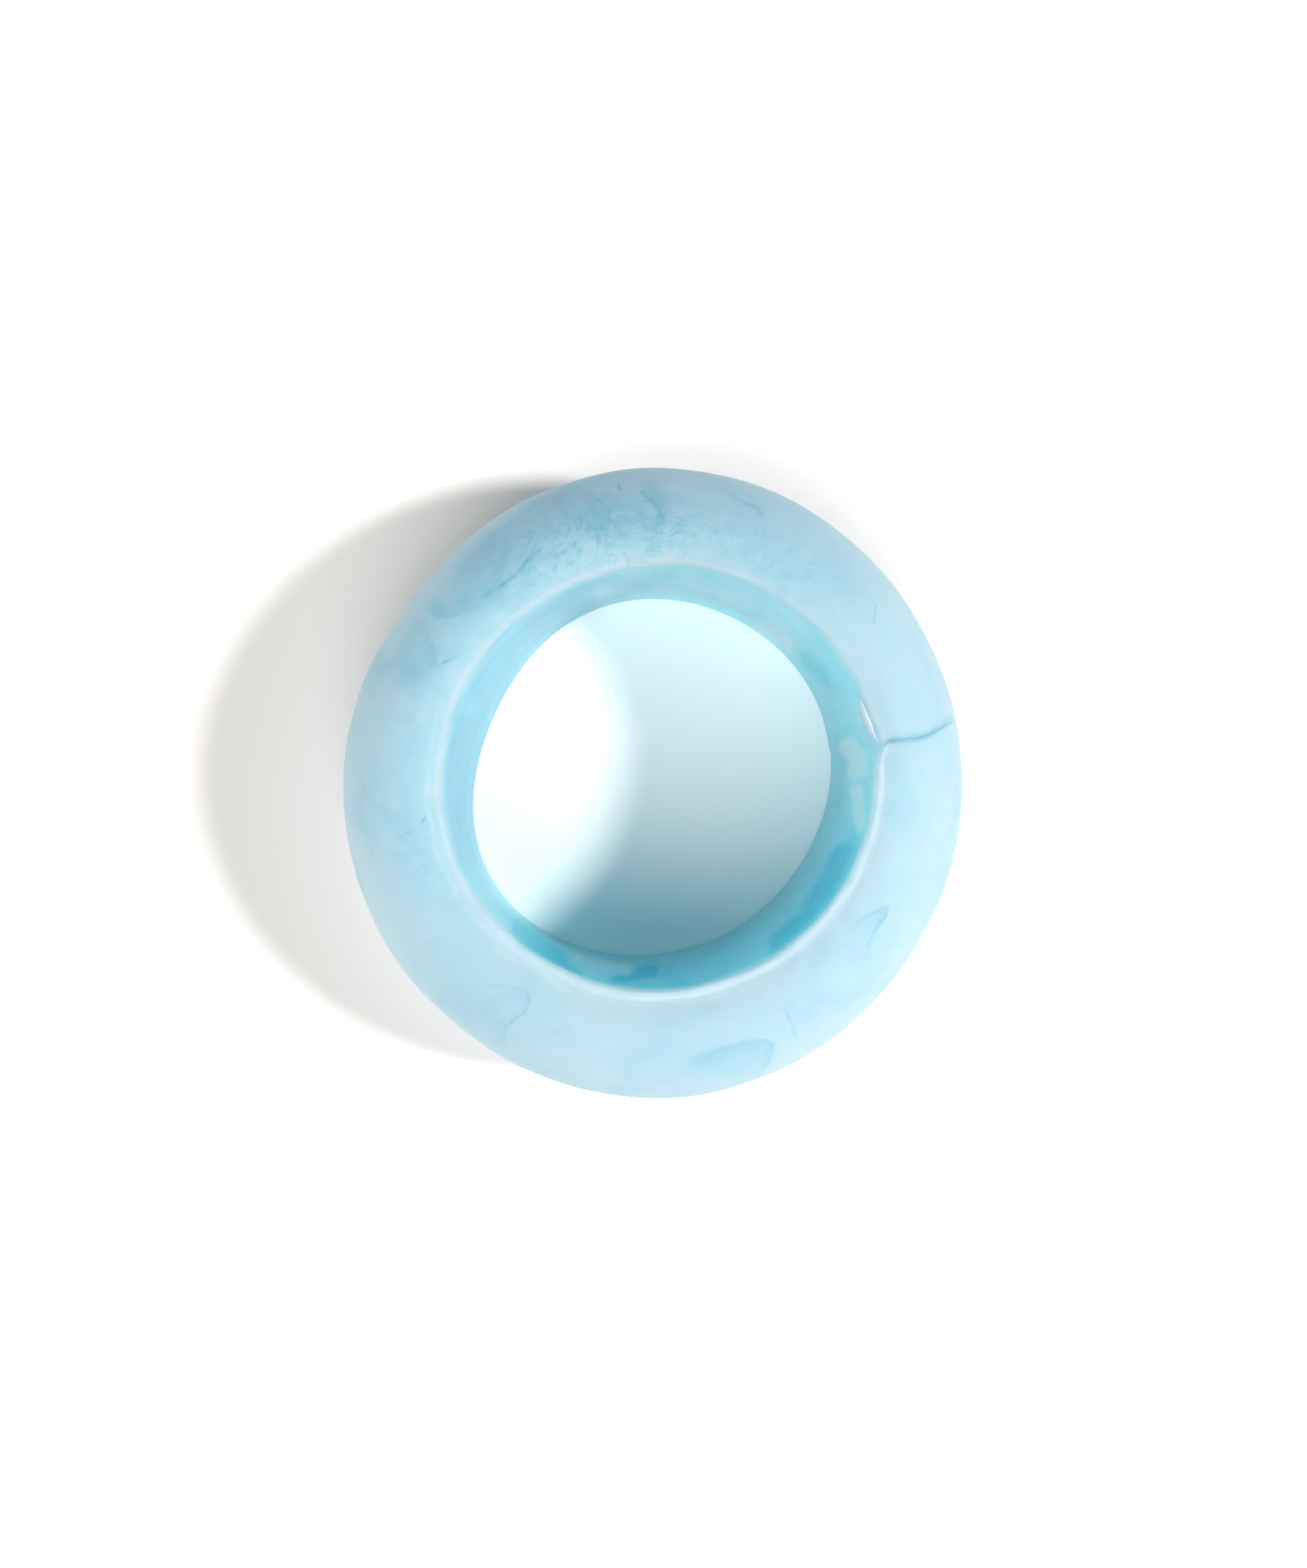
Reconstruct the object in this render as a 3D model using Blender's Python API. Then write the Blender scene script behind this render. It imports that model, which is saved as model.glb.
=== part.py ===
"""A chunky hand-made resin bangle.

A thick marbled band is bent round the wrist opening until its two ends meet. The ends
are rounded over into lips, and a thin sheet of cured resin between them, set back from
the surface, holds them together. The band's section is a D: a leaning flat wall inside,
a rounded belly outside, and a flat sanded land beside each inner rim.

Units are metres and degrees, +Z is up. The band rests on z = 0 on its lower land, and
the middle of its footprint is at the origin. Angles run from +X towards +Y.
"""

import math

import bmesh
import bpy
import numpy as np

# Section of the band
WRIST_DIAMETER = 0.0653         # inside, across the top rim
WRIST_TAPER = 0.0044            # how much narrower the inside is at the bottom rim
WALL = 0.0178                   # from the top rim out to the belly
BELLY_HEIGHT = 0.0190           # the widest line, above the resting face
SHOULDER_RISE = 0.0170          # from the widest line up to the top land
RIM_RADIUS = 0.0018             # rounding of both inner rims
TOP_LAND = 0.0020               # sanded strip beside the top rim
REST_LAND = 0.0030              # sanded strip that the band rests on
SHOULDER_POWER = 1.85           # superellipse power of the outside above the belly
UNDERSIDE_POWER = 2.15          # and below it

# Hand-made unevenness: amplitude, waves round the band, angle of a crest
BELLY_WAVES = ((0.0005, 2, 77.0), (0.0002, 3, 69.0), (0.00015, 4, 90.0))
TOP_RIM_WAVES = ((0.0011, 1, 53.0), (0.0005, 2, 24.0), (0.0001, 6, 24.0))
BOTTOM_RIM_WAVES = ((0.0010, 1, 121.0), (0.0012, 2, 46.0), (0.0004, 3, 101.0), (0.0003, 4, 22.0))
TOP_HEIGHT_WAVES = ((0.0007, 1, 10.0), (0.0002, 3, 40.0))

# A flat pressed into the belly
FLAT_ANGLE = 142.0
FLAT_DEPTH = 0.0006
FLAT_SPREAD = 16.0

# The join, where the two ends of the band meet
JOIN_ANGLE = 10.0
JOIN_SWEEP = 0.0020             # how far the join line turns aside at the belly
JOIN_RIPPLE = 0.0003            # side-to-side ripple of the line on its way out
JOIN_FADE = 40.0                # angle over which the sections turn square again
SOFT_LIP = 0.0015               # rounding of the end on the counter-clockwise side
CRISP_LIP = 0.0006              # rounding of the end on the clockwise side
NOTCH_WIDTH = 0.0009            # how far each lip opens at the top inner rim
NOTCH_REACH = 0.0035            # how far the opening spreads from the rim
FILL_THICKNESS = 0.0005         # the cured sheet in the join
FILL_SETBACK = 0.0010           # how far the sheet stays below the band's surface
FILL_CLEARANCE = 0.0003         # between the sheet and each end

# Facets
BAND_STEPS = 92                 # sections round the band
LIP_STEPS = 3                   # sections in each rounded lip
SHOULDER_STEPS = 10             # points from the belly to a land
RIM_STEPS = 3                   # points round a rim
WALL_STEPS = 2                  # points on half of the inner wall

SMOOTH_ANGLE = 40.0
BAND_COLOUR = (0.45, 0.69, 0.80, 1.0)
FILL_COLOUR = (0.20, 0.50, 0.62, 1.0)


def waves(terms, angle):
    """Sum of cosine waves round the band at an angle in degrees."""
    return sum(size * math.cos(math.radians(count * (angle - crest))) for size, count, crest in terms)


def pressed_flat(angle):
    """Depth of the pressed flat at an angle in degrees."""
    away = (angle - FLAT_ANGLE + 180.0) % 360.0 - 180.0
    return FLAT_DEPTH * math.exp(-((away / FLAT_SPREAD) ** 2))


def rim_places(angle, inset):
    """Radius and height of the top and bottom rim corners of one section."""
    top_radius = WRIST_DIAMETER / 2 + waves(TOP_RIM_WAVES, angle) + inset
    top_height = BELLY_HEIGHT + SHOULDER_RISE + waves(TOP_HEIGHT_WAVES, angle) - inset
    bottom_radius = (WRIST_DIAMETER - WRIST_TAPER) / 2 + waves(BOTTOM_RIM_WAVES, angle) + inset
    return (top_radius, top_height), (bottom_radius, inset)


def half_section(angle, inset, upper):
    """Points (radius, height) from the belly to the middle of the inner wall.

    The upper half climbs over the shoulder and the top rim, and the lower half passes
    under the belly and round the bottom rim. Inset shrinks the section on all sides.
    """
    top, bottom = rim_places(angle, inset)
    if upper:
        (rim_radius, rim_height), up, land, power = top, 1.0, TOP_LAND, SHOULDER_POWER
    else:
        (rim_radius, rim_height), up, land, power = bottom, -1.0, REST_LAND, UNDERSIDE_POWER
    belly = WRIST_DIAMETER / 2 + WALL + waves(BELLY_WAVES, angle) - pressed_flat(angle) - inset
    round_radius = rim_radius + RIM_RADIUS
    land_edge = round_radius + land
    points = []
    for step in range(SHOULDER_STEPS):
        turn = (step + 0.5) / SHOULDER_STEPS * math.pi / 2
        out = math.cos(turn) ** (2 / power)
        rise = math.sin(turn) ** (2 / power)
        points.append((land_edge + (belly - land_edge) * out,
                       BELLY_HEIGHT + (rim_height - BELLY_HEIGHT) * rise))
    points.append((land_edge, rim_height))
    for step in range(RIM_STEPS + 1):
        turn = step / RIM_STEPS * math.pi / 2
        points.append((round_radius - RIM_RADIUS * math.sin(turn),
                       rim_height - up * RIM_RADIUS * (1 - math.cos(turn))))
    near = (rim_radius, rim_height - up * RIM_RADIUS)
    far_radius, far_height = bottom if upper else top
    far = (far_radius, far_height + up * RIM_RADIUS)
    for step in range(1, WALL_STEPS + 1):
        share = step / (2 * WALL_STEPS + 1)
        points.append(tuple(a + (b - a) * share for a, b in zip(near, far)))
    return points


def section(angle, inset):
    """Closed D-shaped loop of (radius, height) points: the upper half, then the lower half back."""
    return half_section(angle, inset, True) + half_section(angle, inset, False)[::-1]


def join_line(radius):
    """Sideways distance of the join line from a plain radius, at a radius."""
    out = (radius - WRIST_DIAMETER / 2) / WALL
    return JOIN_SWEEP * max(out, 0.0) ** 4 + JOIN_RIPPLE * math.sin(3 * math.pi * out)


def notch(radius, height, angle):
    """How far a lip opens at a point of the section, most at the top inner rim."""
    (rim_radius, rim_height), _ = rim_places(angle, 0.0)
    away = math.hypot(radius - rim_radius, height - rim_height)
    return NOTCH_WIDTH * math.exp(-((away / NOTCH_REACH) ** 2))


def placed_section(turn, inset, side, notched):
    """Points in space of the section at a turn from the join, moved aside from it.

    Args: turn in degrees from the join; inset of the section; side, the distance along
    the band by which it stands off its own radius; notched, the share of the notch.
    """
    angle = JOIN_ANGLE + turn
    fade = max(0.0, 1 - min(turn, 360.0 - turn) / JOIN_FADE) ** 2
    points = []
    for radius, height in section(angle, inset):
        aside = side + join_line(radius) * fade + notch(radius, height, angle) * notched
        place = math.radians(angle) + aside / radius
        points.append((radius * math.cos(place), radius * math.sin(place), height))
    return points


def band_sections():
    """Sections of the band from its soft lip, round the wrist, to its crisp lip."""
    half_gap = FILL_THICKNESS / 2 + FILL_CLEARANCE
    loops = []
    for step in range(LIP_STEPS):
        turn = math.pi / 2 * (1 - step / LIP_STEPS)
        side = half_gap + SOFT_LIP * (1 - math.sin(turn))
        loops.append(placed_section(0.0, SOFT_LIP * (1 - math.cos(turn)), side, 1.0))
    for step in range(BAND_STEPS + 1):
        share = step / BAND_STEPS
        side = (half_gap + SOFT_LIP) * (1 - share) - (half_gap + CRISP_LIP) * share
        loops.append(placed_section(360.0 * share, 0.0, side, 1 - 2 * share))
    for step in range(1, LIP_STEPS + 1):
        turn = math.pi / 2 * step / LIP_STEPS
        side = half_gap + CRISP_LIP * (1 - math.sin(turn))
        loops.append(placed_section(360.0, CRISP_LIP * (1 - math.cos(turn)), -side, -1.0))
    return loops


def fill_sections():
    """The two faces of the thin sheet that lies in the join."""
    return [placed_section(0.0, FILL_SETBACK, side, 0.0)
            for side in (-FILL_THICKNESS / 2, FILL_THICKNESS / 2)]


def loft(name, loops):
    """Closed mesh through loops of equal count, with each end capped rung by rung.

    A rung of a cap joins the points of the two half sections that lie at like radii, so
    the cap keeps the curve of the join line.
    """
    form = bmesh.new()
    rings = [[form.verts.new(point) for point in loop] for loop in loops]
    count = len(rings[0])
    for ring, following in zip(rings, rings[1:]):
        for index in range(count):
            after = (index + 1) % count
            form.faces.new((ring[index], ring[after], following[after], following[index]))
    for ring in (rings[0], rings[-1]):
        for index in range(count // 2 - 1):
            opposite = count - 1 - index
            form.faces.new((ring[index], ring[index + 1], ring[opposite - 1], ring[opposite]))
    bmesh.ops.recalc_face_normals(form, faces=form.faces)
    mesh = bpy.data.meshes.new(name)
    form.to_mesh(mesh)
    form.free()
    mesh.shade_smooth()
    mesh.set_sharp_from_angle(angle=math.radians(SMOOTH_ANGLE))
    return mesh


def resin(name, colour, roughness):
    """A plain resin material."""
    material = bpy.data.materials.new(name)
    material.use_nodes = True
    shader = material.node_tree.nodes["Principled BSDF"]
    shader.inputs["Base Color"].default_value = colour
    shader.inputs["Roughness"].default_value = roughness
    shader.inputs["Metallic"].default_value = 0.0
    return material


def main():
    """Build the band and the sheet in its join, under an empty on the wrist axis."""
    for thing in list(bpy.data.objects):
        bpy.data.objects.remove(thing, do_unlink=True)
    bangle = bpy.data.collections.new("resin_bangle")
    bpy.context.scene.collection.children.link(bangle)

    band_loops = band_sections()
    points = np.array(band_loops).reshape(-1, 3)
    middle = (points.min(axis=0) + points.max(axis=0)) / 2
    wrist_axis = bpy.data.objects.new("wrist_axis", None)
    wrist_axis.location = (-middle[0], -middle[1], 0.0)
    bangle.objects.link(wrist_axis)

    pieces = (
        ("resin_band", band_loops, resin("marbled_resin", BAND_COLOUR, 0.35)),
        ("join_fill", fill_sections(), resin("cured_fill", FILL_COLOUR, 0.25)),
    )
    for name, loops, material in pieces:
        piece = bpy.data.objects.new(name, loft(name, loops))
        piece.data.materials.append(material)
        piece.parent = wrist_axis
        bangle.objects.link(piece)
    bpy.context.view_layer.update()


main()
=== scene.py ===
"""Looks of a chunky hand-made ring of marbled resin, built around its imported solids.

The band and the resin in its join are surfaces worked out on grids of two parameters:
the turn round the wrist and the place round the D-shaped section. Their finish is a
milky marbled resin, satin outside and glossy inside, with veins and plumes that follow
the surface.
"""

import logging
import math
from dataclasses import dataclass, field
from enum import Enum

import bpy
import numpy as np
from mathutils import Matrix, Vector


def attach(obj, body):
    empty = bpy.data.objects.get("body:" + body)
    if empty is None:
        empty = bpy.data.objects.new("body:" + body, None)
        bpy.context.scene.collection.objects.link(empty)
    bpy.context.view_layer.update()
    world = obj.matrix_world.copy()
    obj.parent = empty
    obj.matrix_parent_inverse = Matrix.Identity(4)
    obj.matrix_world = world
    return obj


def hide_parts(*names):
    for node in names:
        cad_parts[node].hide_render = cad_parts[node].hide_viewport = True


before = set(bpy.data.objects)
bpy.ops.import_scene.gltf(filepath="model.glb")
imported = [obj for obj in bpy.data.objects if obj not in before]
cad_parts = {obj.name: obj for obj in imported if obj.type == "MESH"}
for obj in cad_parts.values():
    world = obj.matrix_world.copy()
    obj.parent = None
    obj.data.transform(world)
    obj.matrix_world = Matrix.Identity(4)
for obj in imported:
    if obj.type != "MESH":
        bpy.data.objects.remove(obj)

Array = np.ndarray
Socket = bpy.types.NodeSocket
Colour = tuple[float, float, float]
Pixel = tuple[float, float]

ROOT_BODY = "root"
LOG = logging.getLogger("bangle")

# The photograph's frame, and the view that it was taken from
PHOTO_WIDTH = 1750
PHOTO_HEIGHT = 2100
FLOOR_METRES_PER_PIXEL = 0.000128
CAMERA_HEIGHT = 0.345

TURN = 360.0                    # a whole turn in degrees
LEVEL = np.array((1.0, 1.0, 0.0))
QUAD_CORNERS = 4
TINY = 1e-12                    # keeps a length of 0 from dividing
RIPPLE_WAVES = 9
RIPPLE_SPREAD = (0.7, 1.5)      # shortest and longest wave, in typical wavelengths
RIPPLE_GAIN = 2.0
CURVE_POINTS = 48
CURVE_STOP = 0.0001             # how far a curve ends before its last knot, in stretches

# Kinds of calculating nodes, and the places of a colour mix's sockets
VALUES = "ShaderNodeMath"
PLACES = "ShaderNodeVectorMath"
MIX_FIRST = 6
MIX_SECOND = 7
MIX_RESULT = 2
NOISE_MIDDLE = 0.5


class Part(Enum):
    """Stretches of half a section, from the belly to the middle of the inner wall, with their points."""

    SHOULDER = ("shoulder", 30)
    LAND = ("land", 8)
    RIM = ("rim", 12)
    WALL = ("wall", 12)

    @property
    def points(self) -> int:
        """How many points the stretch has."""
        return self.value[1]


CHAIN = sum(part.points for part in Part)
RIM_START = Part.SHOULDER.points + Part.LAND.points
RIM_MIDDLE = RIM_START + Part.RIM.points // 2


@dataclass(frozen=True)
class Wave:
    """One cosine wave round the band: its size, its count and the angle of a crest in degrees."""

    size: float
    count: int
    crest: float

    def at(self, angle: Array) -> Array:
        """Height of the wave at angles in degrees."""
        return self.size * np.cos(np.radians(self.count * (angle - self.crest)))


@dataclass(frozen=True)
class Ramp:
    """A smooth step: values from low to high give results from start to end."""

    low: float
    high: float
    start: float = 0.0
    end: float = 1.0

    def at(self, value: Array) -> Array:
        """The step at values: three squares of the share of the range less two cubes."""
        share = np.clip((value - self.low) / (self.high - self.low), 0.0, 1.0)
        return self.start + (self.end - self.start) * share * share * (3.0 - 2.0 * share)


@dataclass(frozen=True)
class Sector:
    """A side of the ring: its middle in degrees, and a smooth step on the cosine of the angle from it."""

    middle: float
    none: float
    full: float

    def at(self, angle: Array) -> Array:
        """Share of the side at angles in degrees."""
        return Ramp(self.none, self.full).at(np.cos(np.radians(angle - self.middle)))


@dataclass(frozen=True)
class Bell:
    """A bell curve: the value at its middle, and how far away it has fallen to about a third."""

    middle: float
    spread: float

    def at(self, value: Array) -> Array:
        """Height of the curve at values: e to the power of less the square of the distance."""
        return np.exp(-(((value - self.middle) / self.spread) ** 2))


@dataclass(frozen=True)
class Ripples:
    """Smooth unevenness in space, mostly between -1 and 1: its typical wavelength in metres and a seed."""

    length: float
    seed: int

    def at(self, points: Array) -> Array:
        """The unevenness at points.

        Args:
            points: Places, in metres, with x, y and z on the last axis.

        Returns:
            The scaled mean of sine waves that run in fixed random directions.
        """
        draw = np.random.default_rng(self.seed)
        ways = draw.normal(size=(RIPPLE_WAVES, 3))
        ways /= np.linalg.norm(ways, axis=1, keepdims=True)
        lengths = self.length * draw.uniform(*RIPPLE_SPREAD, (RIPPLE_WAVES, 1))
        phases = draw.uniform(0.0, 2.0 * math.pi, RIPPLE_WAVES)
        waves = np.sin(points @ (ways / lengths).T * 2.0 * math.pi + phases)
        return waves.mean(axis=-1) * RIPPLE_GAIN


@dataclass(frozen=True)
class Dent:
    """Unevenness of a surface: its size in metres, the level that it is taken down by, and its ripples."""

    size: float
    level: float
    ripples: Ripples

    def at(self, points: Array) -> Array:
        """How far points move outwards."""
        return self.size * (self.ripples.at(points) - self.level)


def total(waves: tuple[Wave, ...], angle: Array) -> Array:
    """Sum of waves at angles in degrees."""
    return sum((wave.at(angle) for wave in waves), np.zeros_like(angle))


def photo_places(points: Array, centre: Array) -> Array:
    """Where points show in the photograph's frame, in its pixels.

    Args:
        points: Places in metres.
        centre: The spot on the floor straight under the camera.

    Returns:
        Pixel places: each point is carried along its line of sight to the floor.
    """
    reach = CAMERA_HEIGHT / (CAMERA_HEIGHT - points[..., 2]) / FLOOR_METRES_PER_PIXEL
    across = PHOTO_WIDTH / 2 + (points[..., 0] - centre[0]) * reach
    down = PHOTO_HEIGHT / 2 - (points[..., 1] - centre[1]) * reach
    return np.stack((across, down), axis=-1)


@dataclass
class BandForm:
    """Sizes of the band, in metres and degrees, and the surface that they give."""

    wrist_diameter: float = 0.0653
    wrist_taper: float = 0.0044
    wall: float = 0.0178
    belly_height: float = 0.0190
    shoulder_rise: float = 0.0170
    rim_radius: float = 0.0016
    low_rim_radius: float = 0.0003
    crisp_rim_share: float = 0.5
    crisp_side: Sector = Sector(285.0, -0.3, 0.6)
    top_land: float = 0.0020
    rest_land: float = 0.0030
    shoulder_power: float = 1.85
    underside_power: float = 2.15
    belly_waves: tuple[Wave, ...] = (Wave(0.0005, 2, 77.0), Wave(0.0002, 3, 69.0), Wave(0.00015, 4, 90.0))
    top_rim_waves: tuple[Wave, ...] = (Wave(0.0011, 1, 53.0), Wave(0.0005, 2, 24.0), Wave(0.0001, 6, 24.0))
    bottom_rim_waves: tuple[Wave, ...] = (
        Wave(0.0010, 1, 121.0), Wave(0.0012, 2, 46.0), Wave(0.0004, 3, 101.0), Wave(0.0003, 4, 22.0))
    top_height_waves: tuple[Wave, ...] = (Wave(0.0007, 1, 10.0), Wave(0.0002, 3, 40.0))
    flat_angle: float = 142.0
    flat_depth: float = 0.0006
    flat_spread: float = 16.0
    join_angle: float = 10.0
    join_sweep: float = 0.0020
    join_sweep_power: int = 4
    join_ripple: float = 0.0003
    join_half_waves: float = 3.0
    join_fade: float = 40.0
    soft_lip: float = 0.0022
    crisp_lip: float = 0.0005
    groove: float = 0.00048
    groove_on_top: Ramp = Ramp(0.78, 0.95, 1.0, 0.0)
    groove_below: Ramp = Ramp(0.6, 0.9, 0.4, 0.0)
    groove_wall_loss: float = 0.85
    half_gap: float = 0.00005
    notch_width: float = 0.0003
    notch_reach: float = 0.0022
    crisp_corner: float = 0.0015
    crisp_corner_length: float = 0.0036
    soft_corner: float = 0.0011
    soft_corner_length: float = 0.0075
    corner_reach: float = 0.0026

    def corners(self, angle: Array, inset: Array) -> tuple[Array, Array, Array, Array]:
        """Corners of the sections at the two inner rims.

        Args:
            angle: Angles in degrees.
            inset: How far each section is shrunk.

        Returns:
            Radius and height of the top rim's corner, then of the bottom one's.
        """
        top_radius = self.wrist_diameter / 2 + total(self.top_rim_waves, angle) + inset
        top_height = self.belly_height + self.shoulder_rise + total(self.top_height_waves, angle) - inset
        low_wrist = (self.wrist_diameter - self.wrist_taper) / 2
        low_radius = low_wrist + total(self.bottom_rim_waves, angle) + inset
        return top_radius, top_height, low_radius, inset + np.zeros_like(angle)

    def belly(self, angle: Array) -> Array:
        """Radius of the widest line, with the pressed flat taken off as a bell curve of the angle.

        Args:
            angle: Angles in degrees.

        Returns:
            Radii.
        """
        away = (angle - self.flat_angle + TURN / 2) % TURN - TURN / 2
        flat = self.flat_depth * Bell(0.0, self.flat_spread).at(away)
        return self.wrist_diameter / 2 + self.wall + total(self.belly_waves, angle) - flat

    def rim_bevel(self, angle: Array) -> Array:
        """Radius of the top rim's rounding at angles in degrees, smaller on the crisp side."""
        return self.rim_radius * (1.0 - self.crisp_rim_share * self.crisp_side.at(angle))

    def half_section(self, angle: Array, inset: Array, upper: bool) -> tuple[Array, Array]:
        """Radius and height along half a section, from the belly to the middle of the inner wall.

        The outside is a superellipse quarter from the belly to the land, the land is level, the
        rim is a quarter circle, and the wall is a straight line between the two rims.

        Args:
            angle: Angles in degrees, one a row.
            inset: How far each row's section is shrunk.
            upper: Whether the half climbs over the shoulder or passes under the belly.

        Returns:
            Radii and heights, one row for each angle.
        """
        top_radius, top_height, low_radius, low_height = self.corners(angle, inset)
        if upper:
            radius, height, far_radius, far_height = top_radius, top_height, low_radius, low_height
            up, land, power = 1.0, self.top_land, self.shoulder_power
            bevel, far_bevel = self.rim_bevel(angle), self.low_rim_radius
        else:
            radius, height, far_radius, far_height = low_radius, low_height, top_radius, top_height
            up, land, power = -1.0, self.rest_land, self.underside_power
            bevel, far_bevel = self.low_rim_radius, self.rim_bevel(angle)
        round_radius = radius + bevel
        land_edge = round_radius + land
        turn = (np.arange(Part.SHOULDER.points) + 0.5) / Part.SHOULDER.points * math.pi / 2
        depth = self.belly(angle) - inset - land_edge
        rise = height - self.belly_height
        outside = (land_edge + depth * np.cos(turn) ** (2 / power),
                   self.belly_height + rise * np.sin(turn) ** (2 / power))
        share = np.arange(Part.LAND.points) / Part.LAND.points
        level = (land_edge - land * share, height + 0.0 * share)
        bend = np.arange(Part.RIM.points) / (Part.RIM.points - 1) * math.pi / 2
        rim = (round_radius - bevel * np.sin(bend), height - up * bevel * (1.0 - np.cos(bend)))
        along = np.arange(1, Part.WALL.points + 1) / (2 * Part.WALL.points + 1)
        start = height - up * bevel
        end = far_height + up * far_bevel
        wall = (radius + (far_radius - radius) * along, start + (end - start) * along)
        radii, heights = zip(outside, level, rim, wall)
        return np.concatenate(radii, axis=1), np.concatenate(heights, axis=1)

    def section(self, angle: Array, inset: Array) -> tuple[Array, Array]:
        """Radius and height round whole sections: the upper half, then the lower half back.

        Args:
            angle: Angles in degrees, one a row.
            inset: How far each row's section is shrunk.

        Returns:
            Radii and heights, one row for each angle.
        """
        upper = self.half_section(angle, inset, True)
        lower = self.half_section(angle, inset, False)
        radius, height = (np.concatenate((first, second[:, ::-1]), axis=1)
                          for first, second in zip(upper, lower))
        return radius, height

    def outward_share(self, radius: Array) -> Array:
        """Share of the way out from the wrist to the belly at radii."""
        return (radius - self.wrist_diameter / 2) / self.wall

    def join_line(self, radius: Array) -> Array:
        """Sideways distance of the join from a plain radius: a power of the way out and a sine ripple.

        Args:
            radius: Radii of points.

        Returns:
            Distances along the band.
        """
        out = self.outward_share(radius)
        sweep = self.join_sweep * np.maximum(out, 0.0) ** self.join_sweep_power
        return sweep + self.join_ripple * np.sin(self.join_half_waves * math.pi * out)

    def rim_distance(self, angle: Array, radius: Array, height: Array) -> Array:
        """Distance of points of the sections at angles from the top rim's corner."""
        rim_radius, rim_height, _, _ = self.corners(angle, np.zeros_like(angle))
        return np.hypot(radius - rim_radius, height - rim_height)

    def groove_share(self, radius: Array) -> Array:
        """Depth of the join's groove: full on top, none at the belly, faint below and inside.

        Args:
            radius: Radii round whole sections, a row for each.

        Returns:
            Shares of the full depth.
        """
        out = self.outward_share(radius)
        number = np.arange(radius.shape[1])
        wall = Ramp(RIM_START, RIM_MIDDLE).at(number) * (number < CHAIN + Part.WALL.points)
        outside = np.where(number < CHAIN, self.groove_on_top.at(out), self.groove_below.at(out))
        return outside * (1.0 - self.groove_wall_loss * wall)

    def soft_cut(self, along: Array) -> Array:
        """How far the rim's corner is cut back on the soft side: a square of the length that is left."""
        return self.soft_corner * np.clip(1.0 - along / self.soft_corner_length, 0.0, 1.0) ** 2

    def corner_cut(self, along: Array, radius: Array, height: Array, angle: Array) -> Array:
        """How far the top inner rim is rounded back beside the join.

        The cut is a square of the share of a length that is left, full at the join and none at the
        length's end, times a bell curve of the distance to the rim's corner.

        Args:
            along: Distance from the join, over 0 on the soft side and under 0 on the crisp side.
            radius: Radii of the points.
            height: Heights of the points.
            angle: Angles of the sections.

        Returns:
            Distances to be added to the radii.
        """
        crisp = self.crisp_corner * np.clip(1.0 + along / self.crisp_corner_length, 0.0, 1.0) ** 2
        near = Bell(0.0, self.corner_reach).at(self.rim_distance(angle, radius, height))
        return np.where(along > 0.0, self.soft_cut(along), crisp) * near

    def lip(self, size: float) -> tuple[float, float]:
        """Angle at which a lip of a radius meets the groove's bottom, and its reach from the join."""
        low = math.acos(1.0 - self.groove / size)
        return low, self.half_gap + size * math.sin(low)

    def placed(self, turn: Array, inset: Array, side: Array, notched: Array) -> Array:
        """Sections in space, with the join's groove, notch and cut corners.

        The notch opens the lips by a bell curve of the distance to the top rim's corner.

        Args:
            turn: Degrees from the join, one a row.
            inset: How far each section is shrunk where the join's groove is deepest.
            side: How far each section stands off its own radius, along the band.
            notched: Share of the notch that moves each section, with its sign.

        Returns:
            Points, one row of places for each section.
        """
        turn, inset, side, notched = (np.asarray(value, float).reshape(-1, 1)
                                      for value in np.broadcast_arrays(turn, inset, side, notched))
        angle = self.join_angle + turn
        radius, height = self.section(angle, np.zeros_like(inset))
        deep_radius, deep_height = self.section(angle, inset)
        share = self.groove_share(radius)
        radius = radius + (deep_radius - radius) * share
        height = height + (deep_height - height) * share
        fade = np.clip(1.0 - np.minimum(turn, TURN - turn) / self.join_fade, 0.0, 1.0) ** 2
        notch = self.notch_width * Bell(0.0, self.notch_reach).at(self.rim_distance(angle, radius, height))
        aside = side + self.join_line(radius) * fade + notch * notched
        along = np.radians(np.where(turn > TURN / 2, turn - TURN, turn)) * radius + side
        radius = radius + self.corner_cut(along, radius, height, angle)
        place = np.radians(angle) + aside / radius
        return np.stack((radius * np.cos(place), radius * np.sin(place), height), axis=-1)


def skin_faces(rows: int, count: int, ring: bool) -> Array:
    """Quads of a tube of rows of points, closed on itself or capped at both ends.

    Args:
        rows: Number of sections.
        count: Points in a section, an even number.
        ring: Whether the last section joins the first.

    Returns:
        Four point numbers for each face, facing outwards.
    """
    number = np.arange(rows if ring else rows - 1)[:, None]
    row = number * count
    following_row = (number + 1) % rows * count
    place = np.arange(count)[None, :]
    following = (place + 1) % count
    sides = np.stack((row + place, following_row + place, following_row + following, row + following),
                     axis=-1).reshape(-1, QUAD_CORNERS)
    if ring:
        return sides
    rung = np.arange(count // 2 - 1)
    cap = np.stack((rung, rung + 1, count - 2 - rung, count - 1 - rung), axis=-1)
    return np.concatenate((sides, cap, cap[:, ::-1] + (rows - 1) * count))


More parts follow.
